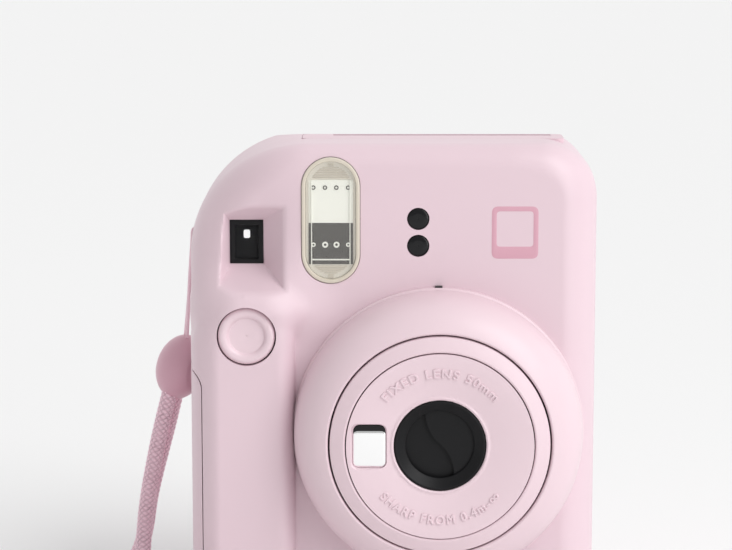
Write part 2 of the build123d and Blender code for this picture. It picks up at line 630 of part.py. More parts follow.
DOME_BULGE = 0.83
RING_LIP = 1.8
RING_LIP_BACK_Y = -24.5
with BuildPart() as mode_ring:
    mid_r = RING_MOUTH_R + 0.6 + (RING_R - RING_MOUTH_R) * DOME_BULGE
    mid_y = RING_BACK_Y + (RING_FRONT_Y - RING_BACK_Y) * 0.56
    front_edge = (RING_MOUTH_R + 0.5, RING_FRONT_Y)
    lip_top = (RING_MOUTH_R + RING_LIP, -27.0)
    skirt_r = SPIGOT_R + 0.08
    skirt_top = (skirt_r, SPIGOT_FRONT_Y - 0.4)
    with BuildSketch(lens_section()) as face:
        with BuildLine():
            ThreePointArc((RING_R, RING_BACK_Y), (mid_r, mid_y), front_edge)
            Polyline(
                front_edge, (RING_MOUTH_R, RING_FRONT_Y + 0.5), (RING_MOUTH_R, RING_LIP_BACK_Y),
                (RING_MOUTH_R + RING_LIP, RING_LIP_BACK_Y), lip_top,
            )
            ThreePointArc(lip_top, (mid_r - 2.8, mid_y + 1.4), skirt_top)
            Polyline(skirt_top, (skirt_r, RING_BACK_Y), (RING_R, RING_BACK_Y))
        make_face()
    revolve(face.sketch, axis=LENS_AXIS)
save(mode_ring, "mode_ring")

GUIDE_FRONT = -12.4
GUIDE_BACK = -2.0
with BuildPart() as barrel_guide:
    guide_in = BARREL_R + GAP
    guide_out = BARREL_R + 2.4
    turned([
        (guide_in, GUIDE_FRONT), (guide_out, GUIDE_FRONT),
        (guide_out, GUIDE_BACK), (guide_in, GUIDE_BACK),
    ])
save(barrel_guide, "barrel_guide")

with BuildPart() as lens_barrel:
    turned([
        (BARREL_BORE_R, BARREL_FRONT_Y), (BARREL_R, BARREL_FRONT_Y),
        (BARREL_R, BARREL_BACK_Y), (BARREL_BORE_R, BARREL_BACK_Y),
    ])
save(lens_barrel, "lens_barrel")

with BuildPart() as barrel_bezel:
    turned([
        (PLATE_R + 0.1, BARREL_FRONT_Y), (BARREL_R, BARREL_FRONT_Y), (BARREL_R, BARREL_FRONT_Y - 0.5),
        (PLATE_R + 0.6, PLATE_RIM_Y), (PLATE_R + 0.1, PLATE_RIM_Y + 0.3),
    ])
save(barrel_bezel, "barrel_bezel")

FITTED_R = BARREL_BORE_R - 0.1
PLATE_BACK_Y = -30.1
MIRROR_BACK_Y = -31.2
with BuildPart() as lens_front_plate:
    turned([
        (PLATE_HOLE_R, PLATE_BACK_Y), (FITTED_R, PLATE_BACK_Y), (FITTED_R, BARREL_FRONT_Y + 0.1),
        (PLATE_R, BARREL_FRONT_Y + 0.1), (PLATE_R, PLATE_RIM_Y + 0.3), (PLATE_R - 0.4, PLATE_RIM_Y),
        (18.5, -32.3), (PLATE_HOLE_R, -31.7),
    ])
    seat_size = (MIRROR_WIDTH + SEAT, MIRROR_HEIGHT + SEAT)
    plate(MIRROR_X, LENS_Z, *seat_size, 1.3, PLATE_RIM_Y - 1, MIRROR_BACK_Y, mode=Mode.SUBTRACT)
save(lens_front_plate, "lens_front_plate")

with BuildPart() as selfie_mirror:
    plate(MIRROR_X, LENS_Z, MIRROR_WIDTH, MIRROR_HEIGHT, 1.2, MIRROR_BACK_Y - 0.7, MIRROR_BACK_Y)
save(selfie_mirror, "selfie_mirror")

with BuildPart() as lens_hood_ring:
    turned([
        (HOOD_MOUTH_R, HOOD_BACK_Y), (HOOD_R, HOOD_BACK_Y), (HOOD_R, HOOD_FRONT_Y),
        (HOOD_R - 0.5, HOOD_FRONT_Y - 0.1), (HOOD_MOUTH_R + 0.1, HOOD_BACK_Y - 0.4),
    ])
save(lens_hood_ring, "lens_hood_ring")


def blade(side, y_front):
    """One lens barrier blade: half a disc behind an S seam, with an arm to its pivot."""
    end_x = BLADE_SEAM_R - BLADE_SEAM_X
    seam_top = sqrt(BLADE_R**2 - end_x**2)
    rim_top = (-end_x * side, seam_top * side)
    rim_bottom = (end_x * side, -seam_top * side)
    seam_high = (-end_x * side, BLADE_SEAM_Z * side)
    seam_low = (end_x * side, -BLADE_SEAM_Z * side)
    with BuildPart() as leaf:
        with BuildSketch(front_plane(y_front + BLADE_THICK, LENS_X, LENS_Z)):
            with BuildLine():
                Line(rim_top, seam_high)
                RadiusArc(seam_high, (0, 0), -BLADE_SEAM_R)
                RadiusArc((0, 0), seam_low, BLADE_SEAM_R)
                Line(seam_low, rim_bottom)
                ThreePointArc(rim_bottom, (BLADE_R * side, 0), rim_top)
            make_face()
            pivot = (BLADE_PIVOT_X * side, BLADE_PIVOT_Z * side)
            with Locations(pivot):
                Circle(BLADE_BOSS_R)
            with BuildLine():
                arm = [(7.6, -15.0), (5.0, -7.0), (8.6, -2.5), (12.2, -13.9)]
                Polyline(*[(x * side, z * side) for x, z in arm], close=True)
            make_face()
            with Locations(pivot):
                Circle(BLADE_PIN_R + RUN_FIT, mode=Mode.SUBTRACT)
        extrude(amount=BLADE_THICK)
    return leaf


barrier_blade_right = blade(1, BLADE_FRONT_Y)
save(barrier_blade_right, "barrier_blade_right")
barrier_blade_left = blade(-1, BLADE_FRONT_Y + BLADE_PITCH_Y)
save(barrier_blade_left, "barrier_blade_left")

HOUSING_FRONT_Y = -27.4
HOUSING_BACK_Y = -14.0
HOUSING_R = 22.0
HOUSING_NECK_R = 14.0
FLANGE_FRONT_Y = -24.0
FLANGE_BACK_Y = -22.5
ELEMENT_R = 6.5
with BuildPart() as shutter_housing:
    bore_r = ELEMENT_R + 0.1
    turned([
        (bore_r, HOUSING_FRONT_Y), (HOUSING_R, HOUSING_FRONT_Y), (HOUSING_R, FLANGE_FRONT_Y),
        (FITTED_R, FLANGE_FRONT_Y), (FITTED_R, FLANGE_BACK_Y), (HOUSING_NECK_R, FLANGE_BACK_Y),
        (HOUSING_NECK_R, HOUSING_BACK_Y), (bore_r, HOUSING_BACK_Y),
    ])
    for side in (1, -1):
        pin_x = LENS_X + side * BLADE_PIVOT_X
        pin_z = LENS_Z + side * BLADE_PIVOT_Z
        disc(pin_x, pin_z, BLADE_PIN_R, BLADE_FRONT_Y - 0.4, HOUSING_FRONT_Y + 0.5)
save(shutter_housing, "shutter_housing")


def lens_element(y_front, y_back, ball_r):
    """A round glass element whose front is part of a ball."""
    with BuildPart() as glass:
        disc(LENS_X, LENS_Z, ELEMENT_R, y_front, y_back)
        with Locations((LENS_X, y_front + ball_r, LENS_Z)):
            Sphere(ball_r, mode=Mode.INTERSECT)
    return glass


lens_front_element = lens_element(-26.6, -22.8, 16)
save(lens_front_element, "lens_front_element")
lens_rear_element = lens_element(-18.2, -15.4, 24)
save(lens_rear_element, "lens_rear_element")


CONE_FRONT_Y = -5.4
CONE_WIDTH = 22.0
CONE_HEIGHT = 28.0


def cone_form(margin):
    """The light cone's tapered form between the lens and the film gate."""
    with BuildPart() as form:
        with BuildSketch(front_plane(CHAMBER_FRONT - CHASSIS_WALL - 0.1, LENS_X, LENS_Z)):
            Rectangle(APERTURE_WIDTH + margin, APERTURE_HEIGHT + margin)
        with BuildSketch(front_plane(CONE_FRONT_Y, LENS_X, LENS_Z)):
            Rectangle(CONE_WIDTH + margin, CONE_HEIGHT + margin)
        loft()
    return form.part


with BuildPart() as light_cone:
    add(cone_form(2.4))
    add(cone_form(0), mode=Mode.SUBTRACT)
save(light_cone, "light_cone")

# ---- chassis and film transport -------------------------------------------------------
CLAW_BOTTOM = 24.0
CLAW_TOP = 60.0
CLAW_Y = 15.0
CLAW_HALF = 3.0
HOOK_HALF = 1.2
HOOK_BOTTOM = 30.5
HOOK_TOP = 34.0
with BuildPart() as chassis:
    low = (CHAMBER_LEFT - CHASSIS_WALL, CHAMBER_FRONT - CHASSIS_WALL, CHAMBER_BOTTOM - CHASSIS_WALL)
    block(low, (CHAMBER_RIGHT + CHASSIS_WALL, CHAMBER_BACK, CHAMBER_TOP + CHASSIS_WALL))
    low = (CHAMBER_LEFT, CHAMBER_FRONT, CHAMBER_BOTTOM)
    block(low, (CHAMBER_RIGHT, CHAMBER_BACK, CHAMBER_TOP), mode=Mode.SUBTRACT)
    plate(LENS_X, LENS_Z, APERTURE_WIDTH, APERTURE_HEIGHT, 0.5, 7, 11, mode=Mode.SUBTRACT)
    low = (SLOT_LEFT, SLOT_Y - SLOT_DEPTH / 2, CHAMBER_TOP - 1)
    block(low, (SLOT_RIGHT, SLOT_Y + SLOT_DEPTH / 2, CHAMBER_TOP + 3), mode=Mode.SUBTRACT)
    low = (CHAMBER_RIGHT - 1, CLAW_Y - HOOK_HALF - 0.4, HOOK_BOTTOM - 1)
    block(low, (CHAMBER_RIGHT + 3, CLAW_Y + HOOK_HALF + 0.4, HOOK_TOP + 6), mode=Mode.SUBTRACT)
save(chassis, "chassis")

with BuildPart() as film_claw:
    low = (CHAMBER_RIGHT + CHASSIS_WALL + GAP, CLAW_Y - CLAW_HALF, CLAW_BOTTOM)
    block(low, (CHAMBER_RIGHT + 3.4, CLAW_Y + CLAW_HALF, CLAW_TOP))
    low = (CHAMBER_RIGHT - 0.2, CLAW_Y - HOOK_HALF, HOOK_BOTTOM)
    block(low, (CHAMBER_RIGHT + 2.2, CLAW_Y + HOOK_HALF, HOOK_TOP))
save(film_claw, "film_claw")

BEARING_R = ROLLER_SHAFT_R + RUN_FIT
FRAME_FRONT = 0.6
FRAME_TOP = 111.5
BRACKET_LEFT = ROLLER_RIGHT + 1.0
BRACKET_RIGHT = ROLLER_RIGHT + 2.4
with BuildPart() as gear_plate:
    block((GEAR_PLATE_LEFT, FRAME_FRONT, 70), (GEAR_PLATE_RIGHT, 23.5, FRAME_TOP))
    for shaft_y in (ROLLER_FRONT_Y, ROLLER_BACK_Y):
        axle(shaft_y, ROLLER_Z, BEARING_R, GEAR_PLATE_LEFT, GEAR_PLATE_RIGHT, mode=Mode.SUBTRACT)
    for idler_z in (IDLER_HIGH_Z, IDLER_LOW_Z):
        axle(ROLLER_BACK_Y, idler_z, IDLER_PIN_R, GEAR_LEFT - 0.6, GEAR_PLATE_LEFT)
save(gear_plate, "gear_plate")

with BuildPart() as roller_bracket:
    low = (BRACKET_LEFT, FRAME_FRONT, CHAMBER_TOP + CHASSIS_WALL)
    block(low, (BRACKET_RIGHT, 22, FRAME_TOP))
    for shaft_y in (ROLLER_FRONT_Y, ROLLER_BACK_Y):
        axle(shaft_y, ROLLER_Z, BEARING_R, BRACKET_LEFT - 1, BRACKET_RIGHT + 1, mode=Mode.SUBTRACT)
save(roller_bracket, "roller_bracket")


def roller(y):
    """A film roller with its shaft through both bearings and the gear."""
    with BuildPart() as bar:
        axle(y, ROLLER_Z, ROLLER_R, ROLLER_LEFT, ROLLER_RIGHT)
        axle(y, ROLLER_Z, ROLLER_SHAFT_R, GEAR_LEFT - 0.4, BRACKET_RIGHT + 1)
    return bar


roller_front = roller(ROLLER_FRONT_Y)
save(roller_front, "roller_front")
roller_rear = roller(ROLLER_BACK_Y)
save(roller_rear, "roller_rear")


def involute_angle(base_r, radius):
    """The angle that an involute has turned where it reaches a radius."""
    pressure = acos(min(1.0, base_r / radius))
    return tan(pressure) - pressure


def gear(teeth, first_tooth, y, z, bore):
    """A spur gear about an X axis, with one tooth at the given angle from +Y towards +Z."""
    pitch_r = GEAR_MODULE * teeth / 2
    base_r = pitch_r * cos(PRESSURE_ANGLE)
    root_r = pitch_r - 1.25 * GEAR_MODULE
    tip_r = pitch_r + 0.85 * GEAR_MODULE
    half = pi / (2 * teeth) - GEAR_BACKLASH / (2 * pitch_r) + tan(PRESSURE_ANGLE) - PRESSURE_ANGLE
    start_r = max(base_r, root_r)
    flank_radii = [start_r + (tip_r - start_r) * step / 4 for step in range(5)]
    flank = [(r, half - involute_angle(base_r, r)) for r in flank_radii]
    if root_r < base_r:
        flank.insert(0, (root_r, half))
    outline = []
    for tooth in range(teeth):
        middle = radians(first_tooth) + 2 * pi * tooth / teeth
        outline += [(r * cos(middle - a), r * sin(middle - a)) for r, a in flank]
        outline += [(r * cos(middle + a), r * sin(middle + a)) for r, a in reversed(flank)]
    with BuildPart() as wheel:
        with BuildSketch(side_plane(GEAR_LEFT, y, z)):
            with BuildLine():
                Polyline(*outline, close=True)
            make_face()
            Circle(bore, mode=Mode.SUBTRACT)
        extrude(amount=GEAR_RIGHT - GEAR_LEFT)
    return wheel


ROLLER_STEP = 360 / ROLLER_TEETH
IDLER_STEP = 360 / IDLER_TEETH
PINION_STEP = 360 / PINION_TEETH
roller_gear_front = gear(ROLLER_TEETH, 0, ROLLER_FRONT_Y, ROLLER_Z, ROLLER_SHAFT_R)
save(roller_gear_front, "roller_gear_front")
roller_gear_rear = gear(ROLLER_TEETH, ROLLER_STEP / 2, ROLLER_BACK_Y, ROLLER_Z, ROLLER_SHAFT_R)
save(roller_gear_rear, "roller_gear_rear")
idler_gear_upper = gear(IDLER_TEETH, IDLER_STEP / 2, ROLLER_BACK_Y, IDLER_HIGH_Z, IDLER_PIN_R + RUN_FIT)
save(idler_gear_upper, "idler_gear_upper")
idler_gear_lower = gear(IDLER_TEETH, 0, ROLLER_BACK_Y, IDLER_LOW_Z, IDLER_PIN_R + RUN_FIT)
save(idler_gear_lower, "idler_gear_lower")
pinion_teeth = gear(PINION_TEETH, PINION_STEP / 2, PINION_Y, IDLER_LOW_Z, MOTOR_SHAFT_R)
SHAFT_DEPTH = 4.0
with BuildPart() as motor_pinion:
    add(pinion_teeth.part)
    axle(PINION_Y, IDLER_LOW_Z, MOTOR_SHAFT_R, MOTOR_RIGHT - SHAFT_DEPTH, GEAR_RIGHT)
save(motor_pinion, "motor_pinion")

with BuildPart() as motor:
    axle(PINION_Y, IDLER_LOW_Z, MOTOR_R, MOTOR_LEFT, MOTOR_RIGHT)
    bore_left = MOTOR_RIGHT - SHAFT_DEPTH - GAP
    axle(PINION_Y, IDLER_LOW_Z, MOTOR_SHAFT_R + RUN_FIT, bore_left, MOTOR_RIGHT, mode=Mode.SUBTRACT)
save(motor, "motor")

# ---- shutter button and counter -------------------------------------------------------
BUTTON_BACK_Y = -15.6
STEM_END_Y = -11.4
SWITCH_FRONT_Y = -9.4
SWITCH_HALF_WIDTH = 3.2
SWITCH_HALF_HEIGHT = 2.2
with BuildPart() as shutter_button:
    disc(BUTTON_X, BUTTON_Z, BUTTON_R, GRIP_Y + 0.1, BUTTON_BACK_Y)
    fillet(shutter_button.faces().sort_by(Axis.Y)[0].edges(), 0.4)
    with Locations((BUTTON_X, GRIP_Y + 0.9 - BUTTON_BALL_R, BUTTON_Z)):
        Sphere(BUTTON_BALL_R, mode=Mode.SUBTRACT)
    disc(BUTTON_X, BUTTON_Z, 1.2, BUTTON_BACK_Y, STEM_END_Y)
save(shutter_button, "shutter_button")

with BuildPart() as shutter_switch:
    low = (BUTTON_X - SWITCH_HALF_WIDTH, SWITCH_FRONT_Y, BUTTON_Z - SWITCH_HALF_HEIGHT)
    block(low, (BUTTON_X + SWITCH_HALF_WIDTH, SWITCH_FRONT_Y + 3, BUTTON_Z + SWITCH_HALF_HEIGHT))
save(shutter_switch, "shutter_switch")

with BuildPart() as film_counter_dial:
    disc(COUNTER_X, COUNTER_Z, COUNTER_DIAL_R, COUNTER_DIAL_Y, COUNTER_DIAL_Y + 1.2)
    disc(COUNTER_X, COUNTER_Z, COUNTER_PIVOT_R + RUN_FIT, COUNTER_DIAL_Y, 30, mode=Mode.SUBTRACT)
save(film_counter_dial, "film_counter_dial")

with BuildPart() as counter_window:
    plate(COUNTER_X, COUNTER_WINDOW_Z, COUNTER_SIZE, COUNTER_SIZE, 0.6, REAR_Y - 1.5, REAR_Y - 0.3)
save(counter_window, "counter_window")

# ---- strap --------------------------------------------------------------------------
with BuildPart() as strap_lug:
    disc(LUG_X, LUG_Z, LUG_R, LUG_Y - LUG_HALF - 1, LUG_Y + LUG_HALF + 1)
save(strap_lug, "strap_lug")

bead_plane = Plane(origin=BEAD_CENTRE, x_dir=(BEAD_AXIS[2], 0, -BEAD_AXIS[0]), z_dir=(0, -1, 0))
with BuildPart() as strap_bead:
    with BuildSketch(bead_plane):
        Ellipse(BEAD_R, BEAD_HALF)
        with Locations((-BEAD_R, 0)):
            Rectangle(2 * BEAD_R, 3 * BEAD_HALF, mode=Mode.SUBTRACT)
    revolve(axis=Axis(BEAD_CENTRE, BEAD_AXIS))
save(strap_bead, "strap_bead")

TETHER_ROUTE = [
    (-55.0, 29.9, 64.2), (-54.4, 27.4, 71.5), (-53.7, 23.7, 81.0), (-52.9, 20.3, 89.3),
    (-52.4, 18.3, 94.0), (-52.3, 17.6, 97.1), (-50.1, 17.5, 97.1), (-50.1, 18.0, 94.9),
    (-52.1, 19.3, 94.6), (-52.7, 21.0, 91.4), (-53.4, 23.8, 84.9), (-54.3, 28.0, 75.0),
    (-55.6, 31.6, 64.6),
]
STRAP_ROUTE = [
    (-58.4, 29.2, 52.8), (-61.0, 29.2, 42.6), (-63.6, 29.0, 31.8), (-65.9, 28.6, 21.4),
    (-66.9, 25.9, 11.8), (-66.7, 19.9, 4.7), (-65.0, 11.0, 1.7), (-61.2, -2.0, 1.7),
    (-58.4, -17.0, 1.7), (-62.8, -31.0, 1.7), (-75.0, -37.0, 1.7), (-86.6, -29.0, 1.7),
    (-88.0, -13.5, 1.7), (-84.0, 1.5, 1.7), (-78.0, 14.5, 1.7), (-72.9, 23.8, 4.7),
    (-70.0, 30.2, 11.9), (-67.4, 33.0, 21.6), (-64.2, 33.6, 32.0), (-61.0, 33.4, 42.6),
    (-58.3, 32.8, 52.8),
]


def cord_radii(route, share):
    """The arc at each corner of a route that uses a share of its shorter run."""
    radii = []
    for before, here, after in zip(route, route[1:], route[2:]):
        run_in = Vector(*here) - Vector(*before)
        run_out = Vector(*after) - Vector(*here)
        half_turn = radians(run_in.get_angle(run_out)) / 2
        radii.append(share * min(run_in.length, run_out.length) / tan(half_turn))
    return radii


ARC_SHARE = 0.45


def cord(route, radius, name):
    """A round tube along straight runs joined by tangent arcs."""
    radii = cord_radii(route, ARC_SHARE)
    with BuildPart() as tube:
        with BuildLine() as path:
            FilletPolyline(*route, radius=radii)
        start = Plane(origin=route[0], z_dir=Vector(*route[1]) - Vector(*route[0]))
        with BuildSketch(start):
            Circle(radius)
        sweep(path=path.wires()[0])
    length = path.wires()[0].length
    drawn = tube.part.volume / (pi * radius**2 * length)
    print(name, "length", round(length, 1), "volume ratio", round(drawn, 4))
    print(name, "smallest radius", round(min(radii), 1))
    return tube


tether_cord = cord(TETHER_ROUTE, TETHER_R, "tether_cord")
save(tether_cord, "tether_cord")
wrist_strap = cord(STRAP_ROUTE, STRAP_R, "wrist_strap")
save(wrist_strap, "wrist_strap")
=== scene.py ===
import json
import math

import bmesh
import bpy
import numpy as np
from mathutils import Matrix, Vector


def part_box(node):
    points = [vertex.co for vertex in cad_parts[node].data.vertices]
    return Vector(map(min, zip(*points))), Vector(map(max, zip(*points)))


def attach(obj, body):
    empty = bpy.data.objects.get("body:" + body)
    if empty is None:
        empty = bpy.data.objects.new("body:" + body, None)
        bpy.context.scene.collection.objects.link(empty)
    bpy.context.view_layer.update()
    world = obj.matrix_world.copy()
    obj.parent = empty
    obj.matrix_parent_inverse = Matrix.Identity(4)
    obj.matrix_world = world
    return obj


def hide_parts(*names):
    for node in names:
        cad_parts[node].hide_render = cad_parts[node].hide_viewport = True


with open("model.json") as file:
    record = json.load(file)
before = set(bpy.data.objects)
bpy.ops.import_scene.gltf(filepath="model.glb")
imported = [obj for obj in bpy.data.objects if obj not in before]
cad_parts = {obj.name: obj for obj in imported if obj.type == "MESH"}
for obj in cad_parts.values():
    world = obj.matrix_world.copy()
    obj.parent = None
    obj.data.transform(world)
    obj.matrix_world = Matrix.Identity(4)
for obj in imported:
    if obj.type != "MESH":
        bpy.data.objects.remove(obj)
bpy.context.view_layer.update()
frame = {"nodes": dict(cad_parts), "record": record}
MM = 0.001

# ---- places taken from the frame, in millimetres --------------------------------------
ring_low, ring_high = (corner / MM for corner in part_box("mode_ring"))
AXIS_X = (ring_low.x + ring_high.x) / 2
AXIS_Z = (ring_low.z + ring_high.z) / 2
shell_low, shell_high = (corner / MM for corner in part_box("front_shell"))
LEFT, RIGHT, TOP = shell_low.x, shell_high.x, shell_high.z
SPLIT = shell_high.y
GRIP_FRONT = shell_low.y
FRONT = -14.5
WALL = 1.8


# ---- camera -------------------------------------------------------------------------
def make_camera():
    """The camera looks along +Y and a little down, from the height of the object's top."""
    data = bpy.data.cameras.new("camera")
    data.sensor_width = 36.0
    data.lens = 122.95
    camera = bpy.data.objects.new("camera", data)
    camera.location = (-7.2 * MM, -625.6 * MM, 186.6 * MM)
    camera.rotation_euler = (math.radians(90 - 9.0), 0, 0)
    bpy.context.scene.collection.objects.link(camera)
    bpy.context.scene.camera = camera


make_camera()


# ---- materials ----------------------------------------------------------------------
def base_material(name, color, roughness, **sockets):
    """A Principled material with its constant values on the shader's own sockets."""
    mat = bpy.data.materials.new(name)
    mat.use_nodes = True
    shader = mat.node_tree.nodes["Principled BSDF"]
    shader.inputs["Base Color"].default_value = (*color, 1)
    shader.inputs["Roughness"].default_value = roughness
    for socket, value in sockets.items():
        shader.inputs[socket.replace("_", " ")].default_value = value
    return mat


def add_node(mat, kind, **values):
    """A new node with some of its inputs set."""
    node = mat.node_tree.nodes.new(kind)
    for socket, value in values.items():
        node.inputs[socket.replace("_", " ")].default_value = value
    return node


def noise(mat, scale, detail=3.0):
    """Noise in the object's own space, at a scale per metre."""
    place = add_node(mat, "ShaderNodeTexCoord")
    node = add_node(mat, "ShaderNodeTexNoise", Scale=scale, Detail=detail)
    mat.node_tree.links.new(place.outputs["Object"], node.inputs["Vector"])
    return node.outputs["Fac"]


def tint(mat, color, fac, spread):
    """Vary the base colour a little by a factor."""
    mix = mat.node_tree.nodes.new("ShaderNodeMix")
    mix.data_type = "RGBA"
    mix.inputs["A"].default_value = (*[min(1.0, c * (1 - spread)) for c in color], 1)
    mix.inputs["B"].default_value = (*[min(1.0, c * (1 + spread)) for c in color], 1)
    shader = mat.node_tree.nodes["Principled BSDF"]
    mat.node_tree.links.new(fac, mix.inputs["Factor"])
    mat.node_tree.links.new(mix.outputs["Result"], shader.inputs["Base Color"])


def relief(mat, height, strength, distance):
    """A fine bump from a height."""
    bump = add_node(mat, "ShaderNodeBump", Strength=strength, Distance=distance)
    shader = mat.node_tree.nodes["Principled BSDF"]
    mat.node_tree.links.new(height, bump.inputs["Height"])
    mat.node_tree.links.new(bump.outputs["Normal"], shader.inputs["Normal"])


def uneven_gloss(mat, fac, low, high):
    """Vary the roughness between two values."""
    spread = add_node(mat, "ShaderNodeMapRange", To_Min=low, To_Max=high)
    shader = mat.node_tree.nodes["Principled BSDF"]
    mat.node_tree.links.new(fac, spread.inputs["Value"])
    mat.node_tree.links.new(spread.outputs["Result"], shader.inputs["Roughness"])


def moulded(name, color, roughness, grain=0.25, spread=0.012, **sockets):
    """Moulded plastic: fine spark-eroded grain and a slow drift in colour and gloss."""
    mat = base_material(name, color, roughness, **sockets)
    tint(mat, color, noise(mat, 45, 2), spread)
    uneven_gloss(mat, noise(mat, 160, 4), roughness - 0.04, roughness + 0.05)
    relief(mat, noise(mat, 3600, 2), grain, 0.00003)
    return mat


def metal(name, color, roughness, scratch=(40, 40, 2600)):
    """Ground metal: scratches drawn out along one axis."""
    mat = base_material(name, color, roughness, Metallic=1.0)
    place = add_node(mat, "ShaderNodeTexCoord")
    stretch = add_node(mat, "ShaderNodeMapping", Scale=scratch)
    grain = add_node(mat, "ShaderNodeTexNoise", Scale=1.0, Detail=4.0)
    mat.node_tree.links.new(place.outputs["Object"], stretch.inputs["Vector"])
    mat.node_tree.links.new(stretch.outputs["Vector"], grain.inputs["Vector"])
    uneven_gloss(mat, grain.outputs["Fac"], roughness - 0.08, roughness + 0.12)
    relief(mat, grain.outputs["Fac"], 0.15, 0.00004)
    return mat


PINK = (0.74, 0.575, 0.63)
MAT = {
    "shell_pink": moulded("shell_pink", PINK, 0.42, Coat_Weight=0.06, Coat_Roughness=0.3),
    "lens_pink": moulded(
        "lens_pink", (0.77, 0.605, 0.655), 0.40, grain=0.18, Coat_Weight=0.06, Coat_Roughness=0.3),
    "trim_pink": moulded("trim_pink", (0.74, 0.55, 0.61), 0.38, grain=0.15),
    "button_pink": moulded(
        "button_pink", (0.77, 0.605, 0.655), 0.34, grain=0.1, Coat_Weight=0.15, Coat_Roughness=0.2),
    "logo_pink": moulded("logo_pink", (0.66, 0.36, 0.44), 0.45, grain=0.1),
    "bead_pink": moulded(
        "bead_pink", (0.68, 0.40, 0.48), 0.36, grain=0.12, Coat_Weight=0.1, Coat_Roughness=0.3),
    "mark_black": moulded("mark_black", (0.02, 0.02, 0.02), 0.5),
    "black_satin": moulded(
        "black_satin", (0.010, 0.010, 0.011), 0.42, grain=0.3, spread=0.2, Specular_IOR_Level=0.18),
    "black_gloss": moulded("black_gloss", (0.005, 0.005, 0.006), 0.12, grain=0.02, Specular_IOR_Level=0.3),
    "inner_black": moulded(
        "inner_black", (0.012, 0.012, 0.013), 0.7, grain=0.4, spread=0.2, Specular_IOR_Level=0.15),
    "gear_white": moulded("gear_white", (0.72, 0.70, 0.64), 0.4, grain=0.1, Subsurface_Weight=0.05),
    "board_green": moulded("board_green", (0.02, 0.11, 0.05), 0.35, grain=0.6, spread=0.25),
    "capacitor_sleeve": moulded("capacitor_sleeve", (0.02, 0.02, 0.04), 0.3, grain=0.1),
    "seal_foam": moulded("seal_foam", (0.03, 0.03, 0.03), 0.9, grain=1.0, spread=0.3),
    # Ivory with a faint painted glow from its emission.
    "ivory_painted_glow": moulded(
        "ivory_painted_glow", (0.82, 0.83, 0.76), 0.3, grain=0.1,
        Emission_Color=(0.9, 0.9, 0.84, 1), Emission_Strength=0.06),
    # Beige flash floor with a painted glow: its emission lights it up behind the glass.
    "flash_beige_painted_glow": moulded(
        "flash_beige_painted_glow", (0.60, 0.57, 0.50), 0.3, grain=0.1,
        Emission_Color=(0.9, 0.86, 0.78, 1), Emission_Strength=0.16),
    "flash_rim": moulded(
        "flash_rim", (0.66, 0.60, 0.50), 0.22, grain=0.05, Coat_Weight=0.5, Coat_Roughness=0.08),
    "flash_grey": moulded(
        "flash_grey", (0.035, 0.035, 0.035), 0.22, grain=0.1, spread=0.3, Specular_IOR_Level=0.2),
    # A white that glows with painted light, for the bright spot in the viewfinder.
    "finder_painted_glow": base_material(
        "finder_painted_glow", (0.9, 0.9, 0.9), 0.4, Emission_Color=(1, 1, 1, 1), Emission_Strength=0.7),
    "reflector": metal("reflector", (0.85, 0.83, 0.78), 0.18),
    "mirror": metal("mirror", (0.98, 0.98, 0.98), 0.09, scratch=(20, 20, 20)),
    "steel": metal("steel", (0.55, 0.55, 0.55), 0.32),
    "spring_steel": metal("spring_steel", (0.6, 0.6, 0.58), 0.25),
    "contact_metal": metal("contact_metal", (0.72, 0.71, 0.66), 0.22),
}


def clear(name, color, roughness, alpha, coat=0.3):
    """Clear moulded glazing, seen through by its alpha."""
    mat = base_material(
        name, color, roughness, Alpha=alpha, IOR=1.5, Coat_Weight=coat, Coat_Roughness=0.03)
    relief(mat, noise(mat, 120, 2), 0.04, 0.0002)
    return mat


MAT["clear_window"] = clear("clear_window", (0.55, 0.57, 0.58), 0.06, 0.35)
MAT["flash_lens"] = clear("flash_lens", (0.85, 0.82, 0.76), 0.08, 0.07, 0.15)
MAT["optic_glass"] = clear("optic_glass", (0.25, 0.22, 0.35), 0.03, 0.55)
MAT["finder_glass"] = clear("finder_glass", (0.01, 0.01, 0.012), 0.04, 0.12, 0.0)


def braid_with_painted_groove_shade(name, color, scale):
    """Braided yarn: painted shade darker in the grooves between strands, with fine fibre relief."""
    mat = base_material(name, color, 0.78, Sheen_Weight=0.35, Sheen_Roughness=0.5)
    # Painted shade: the tint goes darker where pointiness marks the hollows between strands.
    edge = mat.node_tree.nodes.new("ShaderNodeNewGeometry")
    level = add_node(mat, "ShaderNodeMapRange", From_Min=0.44, From_Max=0.53)
    mat.node_tree.links.new(edge.outputs["Pointiness"], level.inputs["Value"])
    tint(mat, color, level.outputs["Result"], 0.15)
    relief(mat, noise(mat, scale * 6, 4), 0.6, 0.00012)
    return mat


MAT["strap_braid"] = braid_with_painted_groove_shade("strap_braid", (0.87, 0.63, 0.71), 900)
MAT["tether_braid"] = braid_with_painted_groove_shade("tether_braid", (0.80, 0.58, 0.65), 2200)


# ---- mesh helpers -------------------------------------------------------------------
def place(name, data, body, slot, replaced=()):
    """Make an object of mesh or curve data, ride it on a body and hide the CAD parts it replaces."""
    obj = bpy.data.objects.new(name, data)
    bpy.context.scene.collection.objects.link(obj)
    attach(obj, body)
    if not data.materials:
        data.materials.append(MAT[slot])
    for node in replaced:
        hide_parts(node)
    return obj


def mesh_of(name, points, faces, sharp=35):
    """A smooth-shaded mesh from points in millimetres, with its real edges kept sharp."""
    data = bpy.data.meshes.new(name)
    data.from_pydata(np.asarray(points, dtype=float) * MM, [], faces)
    data.polygons.foreach_set("use_smooth", [True] * len(data.polygons))
    data.set_sharp_from_angle(angle=math.radians(sharp))
    data.update()
    return data


